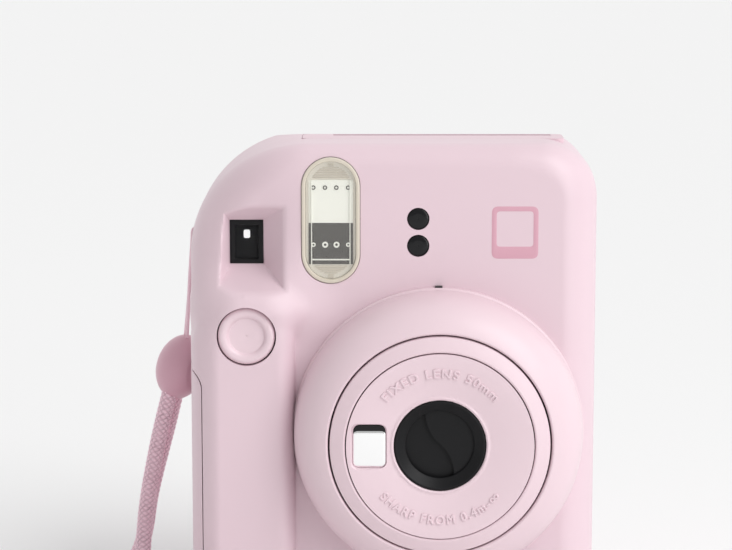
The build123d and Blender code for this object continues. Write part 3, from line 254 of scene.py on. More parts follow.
def soften(profile, radius, steps=4, closed=True):
    """Round the corners of an outline of (a, b) points."""
    count = len(profile)
    out = []
    for i, here in enumerate(profile):
        if not closed and i in (0, count - 1):
            out.append(here)
            continue
        here = Vector(here)
        before = Vector(profile[i - 1]) - here
        after = Vector(profile[(i + 1) % count]) - here
        reach = min(radius, before.length * 0.45, after.length * 0.45)
        start = here + before.normalized() * reach
        end = here + after.normalized() * reach
        for step in range(steps + 1):
            t = step / steps
            out.append(tuple(start * (1 - t) ** 2 + here * (2 * t * (1 - t)) + end * t**2))
    return out


def lathe(name, profile, body, slot, replaced=(), centre=None, segments=144, round_by=0.25):
    """A ring about a Y axis from its closed outline of (radius, y) points."""
    cx, cz = centre or (AXIS_X, AXIS_Z)
    outline = soften(profile, round_by)
    points, faces = [], []
    count = len(outline)
    for step in range(segments):
        angle = 2 * math.pi * step / segments
        points += [(cx + r * math.cos(angle), y, cz + r * math.sin(angle)) for r, y in outline]
    for step in range(segments):
        here, there = step * count, ((step + 1) % segments) * count
        for i in range(count):
            j = (i + 1) % count
            faces.append((here + i, here + j, there + j, there + i))
    return place(name, face_out(mesh_of(name, points, faces)), body, slot, replaced)


def face_out(data):
    """Turn a closed mesh's faces outward."""
    work = bmesh.new()
    work.from_mesh(data)
    bmesh.ops.remove_doubles(work, verts=work.verts, dist=1e-7)
    bmesh.ops.recalc_face_normals(work, faces=work.faces)
    work.to_mesh(data)
    work.free()
    return data


def stadium(cx, cz, width, height, steps=24):
    """The outline of an upright stadium."""
    radius = width / 2
    straight = height / 2 - radius
    points = []
    for end in (1, -1):
        for step in range(steps + 1):
            angle = math.pi * step / steps + (0 if end > 0 else math.pi)
            up = end * straight + radius * math.sin(angle)
            points.append((cx + radius * math.cos(angle), cz + up))
    return points


QUARTERS = ((-1, -1), (1, -1), (1, 1), (-1, 1))


def rounded_box_outline(cx, cz, width, height, radius):
    """The outline of a rounded rectangle."""
    corners = [(cx + right * width / 2, cz + up * height / 2) for right, up in QUARTERS]
    return soften(corners, radius, 6)


def ring_plate(name, outer, inner, y_front, y_back, body, slot, replaced=(), edge=0.25):
    """A frame between two outlines with the same number of points, its front edges softened."""
    chamfer = edge * 0.3
    rows = [(outer, 0, y_back), (outer, 0, y_front + edge), (outer, chamfer, y_front + chamfer),
            (outer, edge, y_front), (inner, -edge, y_front), (inner, -chamfer, y_front + chamfer),
            (inner, 0, y_front + edge), (inner, 0, y_back)]
    return place(name, face_out(mesh_of(name, *rows_mesh(rows, True))), body, slot, replaced)


def solid_plate(name, outline, y_front, y_back, body, slot, replaced=(), edge=0.25, crown=0.0):
    """A plate from one outline, its front edge softened and its middle crowned."""
    chamfer = edge * 0.3
    rows = [(outline, 0, y_back), (outline, 0, y_front + edge), (outline, chamfer, y_front + chamfer),
            (outline, edge, y_front), (outline, edge * 4, y_front - crown * 0.5),
            (outline, edge * 8, y_front - crown * 0.8)]
    return place(name, face_out(mesh_of(name, *rows_mesh(rows, False))), body, slot, replaced)


def rows_mesh(rows, closed):
    """Points and faces between outlines, each drawn in by an amount and set at a depth."""
    points, faces = [], []
    count = len(rows[0][0])
    for outline, inset, y in rows:
        cx = sum(p[0] for p in outline) / count
        cz = sum(p[1] for p in outline) / count
        half_w = max(abs(p[0] - cx) for p in outline)
        half_h = max(abs(p[1] - cz) for p in outline)
        inset = min(inset, 0.6 * half_w, 0.6 * half_h)
        scale_x, scale_z = 1 - inset / half_w, 1 - inset / half_h
        points += [(cx + (px - cx) * scale_x, y, cz + (pz - cz) * scale_z) for px, pz in outline]
    levels = len(rows) if closed else len(rows) - 1
    for level in range(levels):
        here, there = level * count, ((level + 1) % len(rows)) * count
        for i in range(count):
            j = (i + 1) % count
            faces.append((here + i, here + j, there + j, there + i))
    if not closed:
        faces.append(tuple(reversed(range(count))))
        faces.append(tuple(range(levels * count, (levels + 1) * count)))
    return points, faces


def bar(name, low, high, body, slot, edge=0.2):
    """A small block with softened edges."""
    cx, cz = (low[0] + high[0]) / 2, (low[2] + high[2]) / 2
    outline = rounded_box_outline(cx, cz, high[0] - low[0], high[2] - low[2], edge * 1.5)
    return solid_plate(name, outline, low[1], high[1], body, slot, edge=edge)


# ---- cords --------------------------------------------------------------------------
TETHER_POINTS = [
    (-55.0, 29.9, 64.2), (-54.4, 27.4, 71.5), (-53.7, 23.7, 81.0), (-52.9, 20.3, 89.3),
    (-52.4, 18.3, 94.0), (-52.3, 17.6, 97.1), (-50.1, 17.5, 97.1), (-50.1, 18.0, 94.9),
    (-52.1, 19.3, 94.6), (-52.7, 21.0, 91.4), (-53.4, 23.8, 84.9), (-54.3, 28.0, 75.0),
    (-55.6, 31.6, 64.6),
]
STRAP_POINTS = [
    (-59.2, 29.2, 52.8), (-61.9, 29.2, 42.6), (-64.2, 29.0, 31.8), (-66.1, 28.6, 21.4),
    (-66.9, 25.9, 11.8), (-66.7, 19.9, 4.7), (-65.0, 11.0, 1.7), (-61.2, -2.0, 1.7),
    (-58.4, -17.0, 1.7), (-62.8, -31.0, 1.7), (-75.0, -37.0, 1.7), (-86.6, -29.0, 1.7),
    (-88.0, -13.5, 1.7), (-84.0, 1.5, 1.7), (-77.5, 14.5, 1.7), (-69.6, 25.6, 4.7),
    (-66.7, 31.2, 11.9), (-65.6, 33.2, 21.6), (-63.0, 33.6, 32.0), (-60.1, 33.4, 42.6),
    (-57.7, 32.8, 52.8),
]
TETHER_WIDTH = 0.95
STRAP_WIDTH = 3.9
STRAP_THICK = 3.0
BRAID_STEP = 0.17
BRAID_ROUND = 72
STRANDS = 8
FLOAT_LENGTH = 1.5
YARN_RISE = 0.42


def nurbs(name, points, fineness):
    """A smooth open line through a cord's route, in metres."""
    data = bpy.data.curves.new(name, "CURVE")
    data.dimensions = "3D"
    data.resolution_u = fineness
    line = data.splines.new("NURBS")
    line.points.add(len(points) - 1)
    for point, place_mm in zip(line.points, points):
        point.co = (*[c * MM for c in place_mm], 1)
    line.order_u = 3
    line.use_endpoint_u = True
    return data


def evaluated_mesh(holder):
    """The mesh that an object's curve or text turns into."""
    bpy.context.scene.collection.objects.link(holder)
    bpy.context.view_layer.update()
    graph = bpy.context.evaluated_depsgraph_get()
    return bpy.data.meshes.new_from_object(holder.evaluated_get(graph))


def line_points(data):
    """The points along a curve's own line, in metres."""
    holder = bpy.data.objects.new("line_reader", data)
    reader = evaluated_mesh(holder)
    points = [v.co.copy() for v in reader.vertices]
    bpy.data.objects.remove(holder)
    bpy.data.meshes.remove(reader)
    return points


def even_points(points, gap):
    """The same line with its points evenly spaced."""
    lengths = np.concatenate([[0], np.cumsum([(b - a).length for a, b in zip(points, points[1:])])])
    wanted = np.linspace(0, lengths[-1], max(2, int(lengths[-1] / gap)))
    coords = np.array(points)
    return [Vector([np.interp(s, lengths, coords[:, k]) for k in range(3)]) for s in wanted]


def braid_height(along, turn):
    """How far a braid's yarns stand out: in each diamond one of the two families lies on top."""
    one = along / FLOAT_LENGTH + turn * STRANDS
    two = along / FLOAT_LENGTH - turn * STRANDS
    across_one, across_two = np.sin(math.pi * (one % 1)), np.sin(math.pi * (two % 1))
    first_on_top = (np.floor(one) + np.floor(two)) % 2 == 0
    across = np.where(first_on_top, across_one, across_two)
    lengthwise = np.where(first_on_top, across_two, across_one)
    return YARN_RISE * (across**0.7 * lengthwise**0.3 - 0.5)


def braided_strap():
    """A flat tubular braid along the strap's line."""
    path = even_points(line_points(nurbs("strap_line", STRAP_POINTS, 24)), BRAID_STEP * MM)
    turn = np.arange(BRAID_ROUND) / BRAID_ROUND
    angle = 2 * math.pi * turn
    wide = np.sign(np.cos(angle)) * np.abs(np.cos(angle)) ** 0.75
    thick = np.sign(np.sin(angle)) * np.abs(np.sin(angle)) ** 0.85
    side = Vector((1, 0, 0))
    points = []
    for index, here in enumerate(path):
        ahead = path[min(index + 1, len(path) - 1)] - path[max(index - 1, 0)]
        ahead.normalize()
        side = (side - ahead * side.dot(ahead)).normalized()
        across = ahead.cross(side)
        rise = braid_height(index * BRAID_STEP, turn)
        reach_side = wide * (STRAP_WIDTH / 2 + rise)
        reach_across = thick * (STRAP_THICK / 2 + rise)
        points.append(np.array(here) / MM + np.outer(reach_side, side) + np.outer(reach_across, across))
    points = np.concatenate(points)
    faces = tube_faces(len(path), BRAID_ROUND)
    data = face_out(mesh_of("wrist_strap_braid", points, faces, 70))
    return place("wrist_strap_braid", data, "root", "strap_braid", ["wrist_strap"]), path


def tube_faces(rings, around):
    """The faces of a tube with closed ends."""
    faces = []
    for ring in range(rings - 1):
        here, there = ring * around, (ring + 1) * around
        for i in range(around):
            j = (i + 1) % around
            faces.append((here + i, here + j, there + j, there + i))
    faces.append(tuple(reversed(range(around))))
    faces.append(tuple(range((rings - 1) * around, rings * around)))
    return faces


def tether():
    """The fine round tether, a curve with a round bevel."""
    data = nurbs("tether", TETHER_POINTS, 16)
    data.bevel_depth = TETHER_WIDTH / 2 * MM
    data.bevel_resolution = 5
    data.use_fill_caps = True
    data.materials.append(MAT["tether_braid"])
    return place("tether", data, "root", "tether_braid", ["tether_cord"])


BEAD_R = 6.6
BEAD_HALF = 8.87
GROOVE_DEPTH = 0.22
GROOVE_FROM, GROOVE_TO = 20, 30
SEAL_DEPTH = 0.15
SEAL_EDGE = 11


def bead():
    """The strap's bead: an egg on a slanted axis with a shallow round relief on one side."""
    low, high = (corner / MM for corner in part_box("strap_bead"))
    centre = (low + high) / 2
    axis = Vector((0.31, 0, 0.95)).normalized()
    side = Vector((0, 1, 0)).cross(axis)
    radius, half = BEAD_R, BEAD_HALF
    back = Vector((0, 1, 0))
    look = Vector((0.75, -0.62, -0.12)).normalized()
    rings, around = 64, 96
    points = []
    for ring in range(rings + 1):
        polar = math.pi * (ring + 0.02) / (rings + 0.04)
        for step in range(around):
            turn = 2 * math.pi * step / around
            around_axis = side * math.cos(turn) + back * math.sin(turn)
            way = axis * math.cos(polar) + around_axis * math.sin(polar)
            away = math.degrees(way.angle(look))
            dip = GROOVE_DEPTH / (1 + math.exp(-(away - GROOVE_FROM) / 0.9))
            dip -= GROOVE_DEPTH / (1 + math.exp(-(away - GROOVE_TO) / 0.9))
            dip += SEAL_DEPTH / (1 + math.exp((away - SEAL_EDGE) / 0.8))
            reach = Vector((way.dot(side) * radius, way.y * radius, way.dot(axis) * half))
            shrink = 1 - dip / radius
            point = centre + (side * reach.x + back * reach.y + axis * reach.z) * shrink
            points.append(point[:])
    data = face_out(mesh_of("bead", points, tube_faces(rings + 1, around), 80))
    return place("bead", data, "root", "bead_pink", ["strap_bead"])


bead_piece = bead()
tether_piece = tether()
strap_piece, strap_path = braided_strap()


# ---- the body's soft form -------------------------------------------------------------
def smooth_min(a, b, k):
    """The lesser of two distances, with a fillet of about k between them."""
    h = np.clip(0.5 + 0.5 * (b - a) / k, 0, 1)
    return b * (1 - h) + a * h - k * h * (1 - h)


def smooth_max(a, b, k):
    """The greater of two distances, with a round of about k between them."""
    return -smooth_min(-a, -b, k)


def ease(t):
    """A smooth step from 0 to 1."""
    t = np.clip(t, 0, 1)
    return t * t * (3 - 2 * t)


def outline_distance(x, z, left, right, low, high, radii):
    """Distance to a rectangle with rounded corners, given as top left, top right, low right, low left."""
    cx, cz = (left + right) / 2, (low + high) / 2
    px, pz = x - cx, z - cz
    top_left, top_right, low_right, low_left = radii
    r_left = np.where(pz > 0, top_left, low_left)
    r_right = np.where(pz > 0, top_right, low_right)
    r = np.where(px < 0, r_left, r_right)
    qx, qz = np.abs(px) - (right - left) / 2 + r, np.abs(pz) - (high - low) / 2 + r
    return np.minimum(np.maximum(qx, qz), 0) + np.hypot(np.maximum(qx, 0), np.maximum(qz, 0)) - r


def rolled(side, front, r):
    """A form with a given side and front distance, its front edge rolled by r."""
    a, b = side + r, front + r
    return np.minimum(np.maximum(a, b), 0) + np.hypot(np.maximum(a, 0), np.maximum(b, 0)) - r


BODY_CORNERS = (30.0, 14.0, 12.0, 8.0)
GRIP_RIGHT = -25.0
GRIP_TOP = 85.0
FLASH = tuple((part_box("flash_window")[0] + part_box("flash_window")[1]) / 2 / MM)
FINDER = tuple((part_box("viewfinder_front_window")[0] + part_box("viewfinder_front_window")[1]) / 2 / MM)
BUTTON = tuple((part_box("shutter_button")[0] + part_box("shutter_button")[1]) / 2 / MM)
LIGHT = tuple((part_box("light_sensor_window")[0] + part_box("light_sensor_window")[1]) / 2 / MM)
FLASH_EYE = tuple((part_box("flash_sensor_window")[0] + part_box("flash_sensor_window")[1]) / 2 / MM)
GRIP_CORNERS = (14, 8, 3, 8)
GRIP_BACK = 4.0
FINDER_LEFT, FINDER_RIGHT = -43.8, -27.4
FINDER_LOW, FINDER_HIGH = 86.4, 106.6
FINDER_HALF_W, FINDER_HALF_H = 4.3, 5.6
TRIM_LOW, TRIM_HIGH = (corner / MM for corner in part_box("film_exit_trim"))
COVER_LOW, COVER_HIGH = (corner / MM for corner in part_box("battery_cover"))
COVER_SEAM_X = COVER_HIGH.x + 1.2
COVER_RISE = 4.8
COVER_CORNERS = (1, 5, 1, 1)
COVER_BACK = 21.3
KNUCKLE_R = 1.25
KNUCKLE_HALF = 8.0
KNUCKLE_APART = 15.5
PIN_LOW, PIN_HIGH = (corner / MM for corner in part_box("battery_cover_hinge_pin"))
PIN = (PIN_LOW + PIN_HIGH) / 2
PIN_R = (PIN_HIGH.x - PIN_LOW.x) / 2
DRAFT = 0.068


def front_height(x, z):
    """How far forward the body's front lies: flat, soft over the grip's top, sunk round the finder."""
    swell = 4.6 * ease((-12 - x) / 22) * ease((101 - z) / 24) * ease((z - 71) / 12)
    sunk = 2.2 * ease((FLASH[0] - 6.9 - x) / 13) * ease((z - 84) / 10) * ease((121 - z) / 18)
    return FRONT - swell + sunk


def outer_form(x, y, z):
    """The body's outside as a distance: rounded block, sunk shoulder, grip and finder recess."""
    front = front_height(x, z)
    left = LEFT + DRAFT * np.maximum(SPLIT - 2 - y, 0)
    right = RIGHT - DRAFT * np.maximum(2 - y, 0)
    side = outline_distance(x, z, left, right, 0, TOP, BODY_CORNERS)
    roll = 6 + 7 * ease((-22 - x) / 24) + 4 * ease((x - 28) / 22)
    body = rolled(side, front - y, roll)
    grip_side = outline_distance(x, z, left, GRIP_RIGHT, 0, GRIP_TOP, GRIP_CORNERS)
    grip_roll = 4.5 + 4 * ease((-38 - x) / 10)
    grip = np.maximum(rolled(grip_side, GRIP_FRONT - y, grip_roll), y - GRIP_BACK)
    blend = 1.0 + 5.0 * ease((z - 73) / 9)
    form = smooth_min(body, grip, blend)
    floor_y = FINDER[1] - 0.4
    depth = np.clip((y - front) / (floor_y - front), -0.12, 1)
    left = FINDER_LEFT + (FINDER[0] - FINDER_HALF_W - FINDER_LEFT) * depth
    right = FINDER_RIGHT + (FINDER[0] + FINDER_HALF_W - FINDER_RIGHT) * depth
    low = FINDER_LOW + (FINDER[2] - FINDER_HALF_H - FINDER_LOW) * depth
    high = FINDER_HIGH + (FINDER[2] + FINDER_HALF_H - FINDER_HIGH) * depth
    across = np.maximum((left - x) * 0.92, (x - right) * 0.7)
    recess = smooth_max(across, np.maximum(low - z, z - high) * 0.8, 0.25)
    recess = smooth_max(recess, y - floor_y, 0.2)
    return smooth_max(form, -recess, 0.8)


def round_hole(x, z, cx, cz, r):
    """Distance to a round hole along Y."""
    return np.hypot(x - cx, z - cz) - r


def cover_region(x, y, z, grow):
    """The battery cover's outline on the grip's side, its top edge falling towards the rear shell."""
    top = COVER_HIGH.z + COVER_RISE * ease((SPLIT - 0.5 - y) / 11)
    right = COVER_SEAM_X + grow
    return outline_distance(x, z, -70.0, right, COVER_LOW.z - grow, top + grow, COVER_CORNERS)


def front_shell_field(x, y, z):
    """The front shell's wall with its openings."""
    form = outer_form(x, y, z)
    inside = form + WALL + 0.9 * ease((-18 - x) / 5) * ease((z - 74) / 6)
    wall = np.maximum(np.maximum(form, -inside), y - SPLIT)
    flash_hole = np.hypot(x - FLASH[0], np.maximum(np.abs(z - FLASH[2]) - 8.45, 0)) - 7.32
    finder_hole = np.maximum(np.abs(x - FINDER[0]) - 4.22, np.abs(z - FINDER[2]) - 5.52)
    holes = [np.maximum(round_hole(x, z, AXIS_X, AXIS_Z, 30.2), y + 8),
             np.maximum(flash_hole, y + 9), finder_hole,
             np.maximum(round_hole(x, z, BUTTON[0], BUTTON[2], 7.34), y + 10),
             np.maximum(round_hole(x, z, LIGHT[0], LIGHT[2], 2.76), y + 9),
             np.maximum(round_hole(x, z, FLASH_EYE[0], FLASH_EYE[2], 2.76), y + 9),
             cover_region(x, y, z, 0.18)]
    across = np.maximum(TRIM_LOW.x - 0.12 - x, x - TRIM_HIGH.x - 0.12)
    pocket = np.maximum(across, np.maximum(TRIM_LOW.z - z, TRIM_LOW.y - 0.12 - y))
    for hole in [*holes, pocket]:
        wall = np.maximum(wall, -hole)
    return wall


def cover_field(x, y, z):
    """The battery cover's wall, the part of the body's side inside its outline, with its knuckles."""
    form = outer_form(x, y, z)
    wall = np.maximum(form, -(form + WALL))
    wall = np.maximum(np.maximum(wall, cover_region(x, y, z, -0.02)), y - COVER_BACK)
    barrel = np.hypot(x - PIN.x, y - PIN.y)
    web = np.maximum(PIN.x - KNUCKLE_R - x, x - PIN.x - 1.0)
    web = np.maximum(web, np.maximum(20.9 - y, y - PIN.y))
    length = np.abs(np.abs(z - PIN.z) - KNUCKLE_APART) - KNUCKLE_HALF
    bore = PIN_R + 0.12 - barrel
    knuckle = np.maximum(np.minimum(barrel - KNUCKLE_R, web), np.maximum(length, bore))
    return np.minimum(wall, knuckle)


def slope(field, points, step=0.01):
    """The unit gradient of a field at points."""
    parts = []
    for axis in range(3):
        shift = np.zeros(3)
        shift[axis] = step
        parts.append(field(*(points + shift).T) - field(*(points - shift).T))
    way = np.stack(parts, axis=1)
    return way / np.maximum(np.linalg.norm(way, axis=1), 1e-9)[:, None]


def crossings(field, values, low, step, axis):
    """Where a field changes sign along one axis of its grid, with the surface's direction there."""
    head, tail = [slice(None)] * 3, [slice(None)] * 3
    head[axis], tail[axis] = slice(0, -1), slice(1, None)
    starts = values[tuple(head)] < 0
    found = np.argwhere(starts != (values[tuple(tail)] < 0))
    one = np.array(low) + found * step
    two = one.copy()
    two[:, axis] += step
    inside_first = starts[tuple(found.T)]
    near, far = np.where(inside_first[:, None], one, two), np.where(inside_first[:, None], two, one)
    for _ in range(7):
        middle = (near + far) / 2
        is_in = field(*middle.T)[:, None] < 0
        near, far = np.where(is_in, middle, near), np.where(is_in, far, middle)
    spot = (near + far) / 2
    return found, spot, slope(field, spot), inside_first


def net(field, low, high, step):
    """A closed mesh on a field's zero surface, with one corner in each cell that it crosses.

    Each corner is put where the surface's own tangent planes meet, so real edges stay crisp.
    """
    sizes = [int((b - a) / step) + 2 for a, b in zip(low, high)]
    axes = [a + step * np.arange(n) for a, n in zip(low, sizes)]
    values = field(*np.meshgrid(*axes, indexing="ij"))
    shape = [n - 1 for n in sizes]
    total = np.zeros((*shape, 3))
    hits = np.zeros(shape)
    lines = []
    for axis in range(3):
        found, spot, way, leaves = crossings(field, values, low, step, axis)
        other = [a for a in range(3) if a != axis]
        cells = []
        for du, dv in ((-1, -1), (0, -1), (0, 0), (-1, 0)):
            cell = found.copy()
            cell[:, other[0]] += du
            cell[:, other[1]] += dv
            cells.append(cell)
        lines.append((axis, cells, spot, way, leaves))
        for cell in cells:
            np.add.at(total, tuple(cell.T), spot)
            np.add.at(hits, tuple(cell.T), 1)
    used = np.argwhere(hits > 0)
    number = -np.ones(shape, dtype=int)
    number[tuple(used.T)] = np.arange(len(used))
    centre = total[tuple(used.T)] / hits[tuple(used.T)][:, None]
    push = np.zeros((len(used), 3, 3))
    pull = np.zeros((len(used), 3))
    faces = []
    for axis, cells, spot, way, leaves in lines:
        for cell in cells:
            index = number[tuple(cell.T)]
            np.add.at(push, index, way[:, :, None] * way[:, None, :])
            np.add.at(pull, index, way * ((spot - centre[index]) * way).sum(axis=1)[:, None])
        quad = np.stack([number[tuple(cell.T)] for cell in cells], axis=1)
        turn = leaves if axis != 1 else ~leaves
        quad[~turn] = quad[~turn][:, ::-1]
        faces.append(quad)
    push += np.eye(3) * 0.03
    move = np.linalg.solve(push, pull[:, :, None])[:, :, 0]
    return centre + np.clip(move, -step, step), np.concatenate(faces)


def skin(name, field, low, high, step, body, slot, replaced):
    """A piece of the body from its field."""
    points, faces = net(field, low, high, step)
    data = bpy.data.meshes.new(name)
    data.from_pydata(points * MM, [], faces.tolist())
    data.polygons.foreach_set("use_smooth", [True] * len(data.polygons))
    data.set_sharp_from_angle(angle=math.radians(40))
    data.update()
    return place(name, data, body, slot, replaced)


FINE = 0.6
skin("front_shell_skin", front_shell_field, (LEFT - 1.3, GRIP_FRONT - 1.2, -1.1),
     (RIGHT + 1.2, SPLIT + 1.2, TOP + 1.2), FINE, "root", "shell_pink", ["front_shell"])


# ---- lens ---------------------------------------------------------------------------
def arc_points(start, bulge, end, steps=24):
    """Points on the curve that leaves start, passes near bulge and ends at end."""
    start, bulge, end = Vector(start), Vector(bulge), Vector(end)
    shares = [i / steps for i in range(steps + 1)]
    return [tuple(start * (1 - t) ** 2 + bulge * 2 * t * (1 - t) + end * t**2) for t in shares]


COLLAR = [(30.1, FRONT + 0.3), (36.3, FRONT + 0.3), (36.3, -16.0), (35.7, -16.5), (33.5, -16.5),
          (33.5, -19.4), (31.6, -19.4), (30.1, -16.5)]
lathe("collar_ring", COLLAR, "root", "lens_pink", ["lens_collar"])
dome = arc_points((35.9, -16.9), (36.0, -28.6), (27.75, -31.75))
RING = [(33.75, -16.9), *dome, (27.3, -31.4), (27.3, -24.6), (29.2, -24.6), (33.7, -19.9)]
lathe("mode_ring_dome", RING, "mode_ring", "lens_pink", ["mode_ring"], round_by=0.22)
BEZEL = [(23.15, -31.3), (26.85, -31.3), (26.85, -31.85), (23.6, -33.2), (23.15, -33.05)]
lathe("bezel_ring", BEZEL, "lens_barrel", "lens_pink", ["barrel_bezel"], round_by=0.18)
MIRROR_LOW, MIRROR_HIGH = (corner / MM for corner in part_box("selfie_mirror"))
MIRROR = tuple((MIRROR_LOW + MIRROR_HIGH) / 2)


PLATE_RIM_Y = -33.3
PLATE_DIP = 1.5
DISH_R = 11.3
PLATE_R, PLATE_BORE_R = 22.88, 11.32
SEAT_GAP = 0.25
SEAT_CORNERS = (1.7, 1.7, 1.7, 1.7)


def dish_depth(r):
    """Where the front plate's dished face lies, at a distance from the lens axis."""
    return PLATE_RIM_Y + PLATE_DIP * (1 - np.clip((r - DISH_R) / DISH_R, 0, 1)) ** 1.5


def plate_field(x, y, z):
    """The dished front plate with the mirror's seat and a fine lip round the hood."""
    r = np.hypot(x - AXIS_X, z - AXIS_Z)
    lip = np.hypot(r - 11.75, y + 31.75) - 0.42
    face = smooth_min(dish_depth(r) - y, lip, 0.15)
    plate = np.maximum(np.maximum(face, y + 30.2), np.maximum(r - PLATE_R, PLATE_BORE_R - r))
    seat = outline_distance(x, z, MIRROR_LOW.x - SEAT_GAP, MIRROR_HIGH.x + SEAT_GAP,
                            MIRROR_LOW.z - SEAT_GAP, MIRROR_HIGH.z + SEAT_GAP, SEAT_CORNERS)
    seat = np.maximum(seat - 0.3 * np.maximum(-32.3 - y, 0), y - (MIRROR_LOW.y + 0.3))
    return np.maximum(plate, -seat)


HOOD = [(8.4, -30.0), (11.2, -30.0), (11.2, -31.75), (10.75, -31.95), (9.9, -31.3), (8.8, -30.55), (8.4, -30.3)]
lathe("hood_cone", HOOD, "lens_barrel", "black_satin", ["lens_hood_ring"], round_by=0.2)
skin("front_plate", plate_field, (AXIS_X - 23.4, -33.8, AXIS_Z - 23.4), (AXIS_X + 23.4, -29.8, AXIS_Z + 23.4),
     0.42, "lens_barrel", "lens_pink", ["lens_front_plate"])
MIRROR_W, MIRROR_H = MIRROR_HIGH.x - MIRROR_LOW.x, MIRROR_HIGH.z - MIRROR_LOW.z
# The glass stops short of the mirror's top, so a black band of the backing shows there: painted shadow of the
# seat's top wall.
MIRROR_SHADE = 1.5
mirror_outline = rounded_box_outline(MIRROR[0], MIRROR[2], MIRROR_W, MIRROR_H, 1.9)
glass_outline = rounded_box_outline(MIRROR[0], MIRROR[2] - MIRROR_SHADE / 2, MIRROR_W - 0.1,
                                    MIRROR_H - MIRROR_SHADE - 0.1, 1.2)
# The black backing plate, whose band above the glass is painted shade.
solid_plate("mirror_back_painted_shade", mirror_outline, MIRROR_LOW.y + 0.25, MIRROR_HIGH.y, "lens_barrel", "black_gloss",
            edge=0.1)
solid_plate("mirror_glass", glass_outline, MIRROR_LOW.y, MIRROR_LOW.y + 0.25, "lens_barrel", "mirror",
            ["selfie_mirror"], edge=0.1, crown=0.1)

# ---- sensors, flash, finder and button ------------------------------------------------
POLE = 0.02
EYE = [(POLE, FRONT - 0.05), (1.4, FRONT - 0.02), (2.3, FRONT + 0.1), (2.68, FRONT + 0.3), (2.7, -12.9),
       (POLE, -12.9)]
for eye_name, eye, node in (("light_eye", LIGHT, "light_sensor_window"),
                            ("flash_eye", FLASH_EYE, "flash_sensor_window")):
    lathe(eye_name, EYE, "root", "black_gloss", [node], centre=(eye[0], eye[2]), segments=64, round_by=0.2)

BUTTON_FACE = GRIP_FRONT + 0.15
BUTTON_TOP = [(POLE, 1.15), (2.6, 1.1), (4.4, 1.0), (4.65, 0.45), (5.2, 0.05), (6.0, -0.08), (6.6, 0.15),
              (7.0, 0.6), (7.1, 1.2)]
BUTTON_STEM = [(7.1, -15.7), (1.2, -15.7), (1.2, -11.5), (POLE, -11.5)]
lathe("button_cap", [(r, BUTTON_FACE + back) for r, back in BUTTON_TOP] + BUTTON_STEM, "shutter_button",
      "button_pink", ["shutter_button"], centre=(BUTTON[0], BUTTON[2]), segments=96, round_by=0.3)

FLASH_W, FLASH_H = 14.4, 31.3
outer_rim = stadium(FLASH[0], FLASH[2], FLASH_W, FLASH_H)
inner_rim = stadium(FLASH[0], FLASH[2], FLASH_W - 2.0, FLASH_H - 2.0)
ring_plate("flash_rim", outer_rim, inner_rim, FRONT - 0.5, FRONT + 1.3, "root", "flash_rim", edge=0.3)
solid_plate("flash_cover_glass", stadium(FLASH[0], FLASH[2], FLASH_W - 2.05, FLASH_H - 2.05), FRONT - 0.3,
            FRONT + 0.1, "root", "flash_lens", ["flash_window"], edge=0.1, crown=0.1)
# The flash's floor, glowing with painted light from its material's emission.
solid_plate("flash_floor", stadium(FLASH[0], FLASH[2], FLASH_W - 2.1, FLASH_H - 2.1), FRONT + 1.0,
            FRONT + 1.3, "root", "flash_beige_painted_glow", edge=0.05)
BOX_W, BOX_H, BOX_Z = 11.0, 21.0, FLASH[2] - 0.5
SPLIT_Z = FLASH[2] - 0.7
box_top, box_low = BOX_Z + BOX_H / 2, BOX_Z - BOX_H / 2
half = BOX_W / 2
PANEL_FRONT, PANEL_BACK = FRONT + 0.7, FRONT + 1.02
# The upper panel is ivory and glows faintly with painted light.
bar("flash_panel_upper", (FLASH[0] - half, PANEL_FRONT, SPLIT_Z), (FLASH[0] + half, PANEL_BACK, box_top),
    "root", "ivory_painted_glow", 0.08)
bar("flash_panel_lower", (FLASH[0] - half, PANEL_FRONT, box_low), (FLASH[0] + half, PANEL_BACK, SPLIT_Z),
    "root", "flash_grey", 0.08)
RIB_FIRST, RIB_GAP, RIB_HALF, RIB_REACH = 0.5, 0.42, 0.1, 5.0
for end_name, start, end in (("top", box_top, 1), ("low", box_low, -1)):
    for rib in range(9):
        rib_z = start + end * (RIB_FIRST + rib * RIB_GAP)
        away = abs(rib_z - FLASH[2]) - (FLASH_H - FLASH_W) / 2
        reach = math.sqrt(max(0.5, RIB_REACH**2 - max(away, 0) ** 2))
        bar(f"flash_rib_{end_name}_{rib}", (FLASH[0] - reach, FRONT + 0.6, rib_z - RIB_HALF),
            (FLASH[0] + reach, FRONT + 1.0, rib_z + RIB_HALF), "root", "flash_rim", 0.04)
# Light strips along the flash box's sides: painted highlights on its lit side edges.
for edge_name, edge_side in (("left", -1), ("right", 1)):
    edge_x = FLASH[0] + edge_side * (half - 0.75)
    bar(f"flash_painted_highlight_edge_{edge_name}", (edge_x - 0.11, FRONT + 0.3, box_low), (edge_x + 0.11, FRONT + 0.8, box_top),
        "root", "ivory_painted_glow", 0.05)
STUDS = ((-4.3, 0.55), (-1.4, 0.75), (1.4, 0.75), (4.3, 0.55))
STUD_DROP, CLIP_DROP = 5.6, 1.9
for number, (dx, size) in enumerate(STUDS):
    stud = [(size * 0.45, FRONT + 0.4), (size, FRONT + 0.4), (size, FRONT + 0.8), (size * 0.45, FRONT + 0.8)]
    lathe(f"flash_stud_{number}", stud, "root", "ivory_painted_glow", centre=(FLASH[0] + dx, BOX_Z - STUD_DROP),
          segments=32, round_by=0.1)
CLIP = [(0.3, FRONT + 0.55), (0.55, FRONT + 0.55), (0.55, FRONT + 0.8), (0.3, FRONT + 0.8)]
for number, (dx, _) in enumerate(STUDS):
    lathe(f"flash_clip_{number}", CLIP, "root", "flash_grey", centre=(FLASH[0] + dx, box_top - CLIP_DROP),
          segments=24, round_by=0.06)
bar("flash_tube_glow", (FLASH[0] - 4.6, FRONT + 0.45, box_low + 1.0),
    (FLASH[0] + 4.6, FRONT + 0.8, box_low + 1.35), "root", "ivory_painted_glow", 0.08)

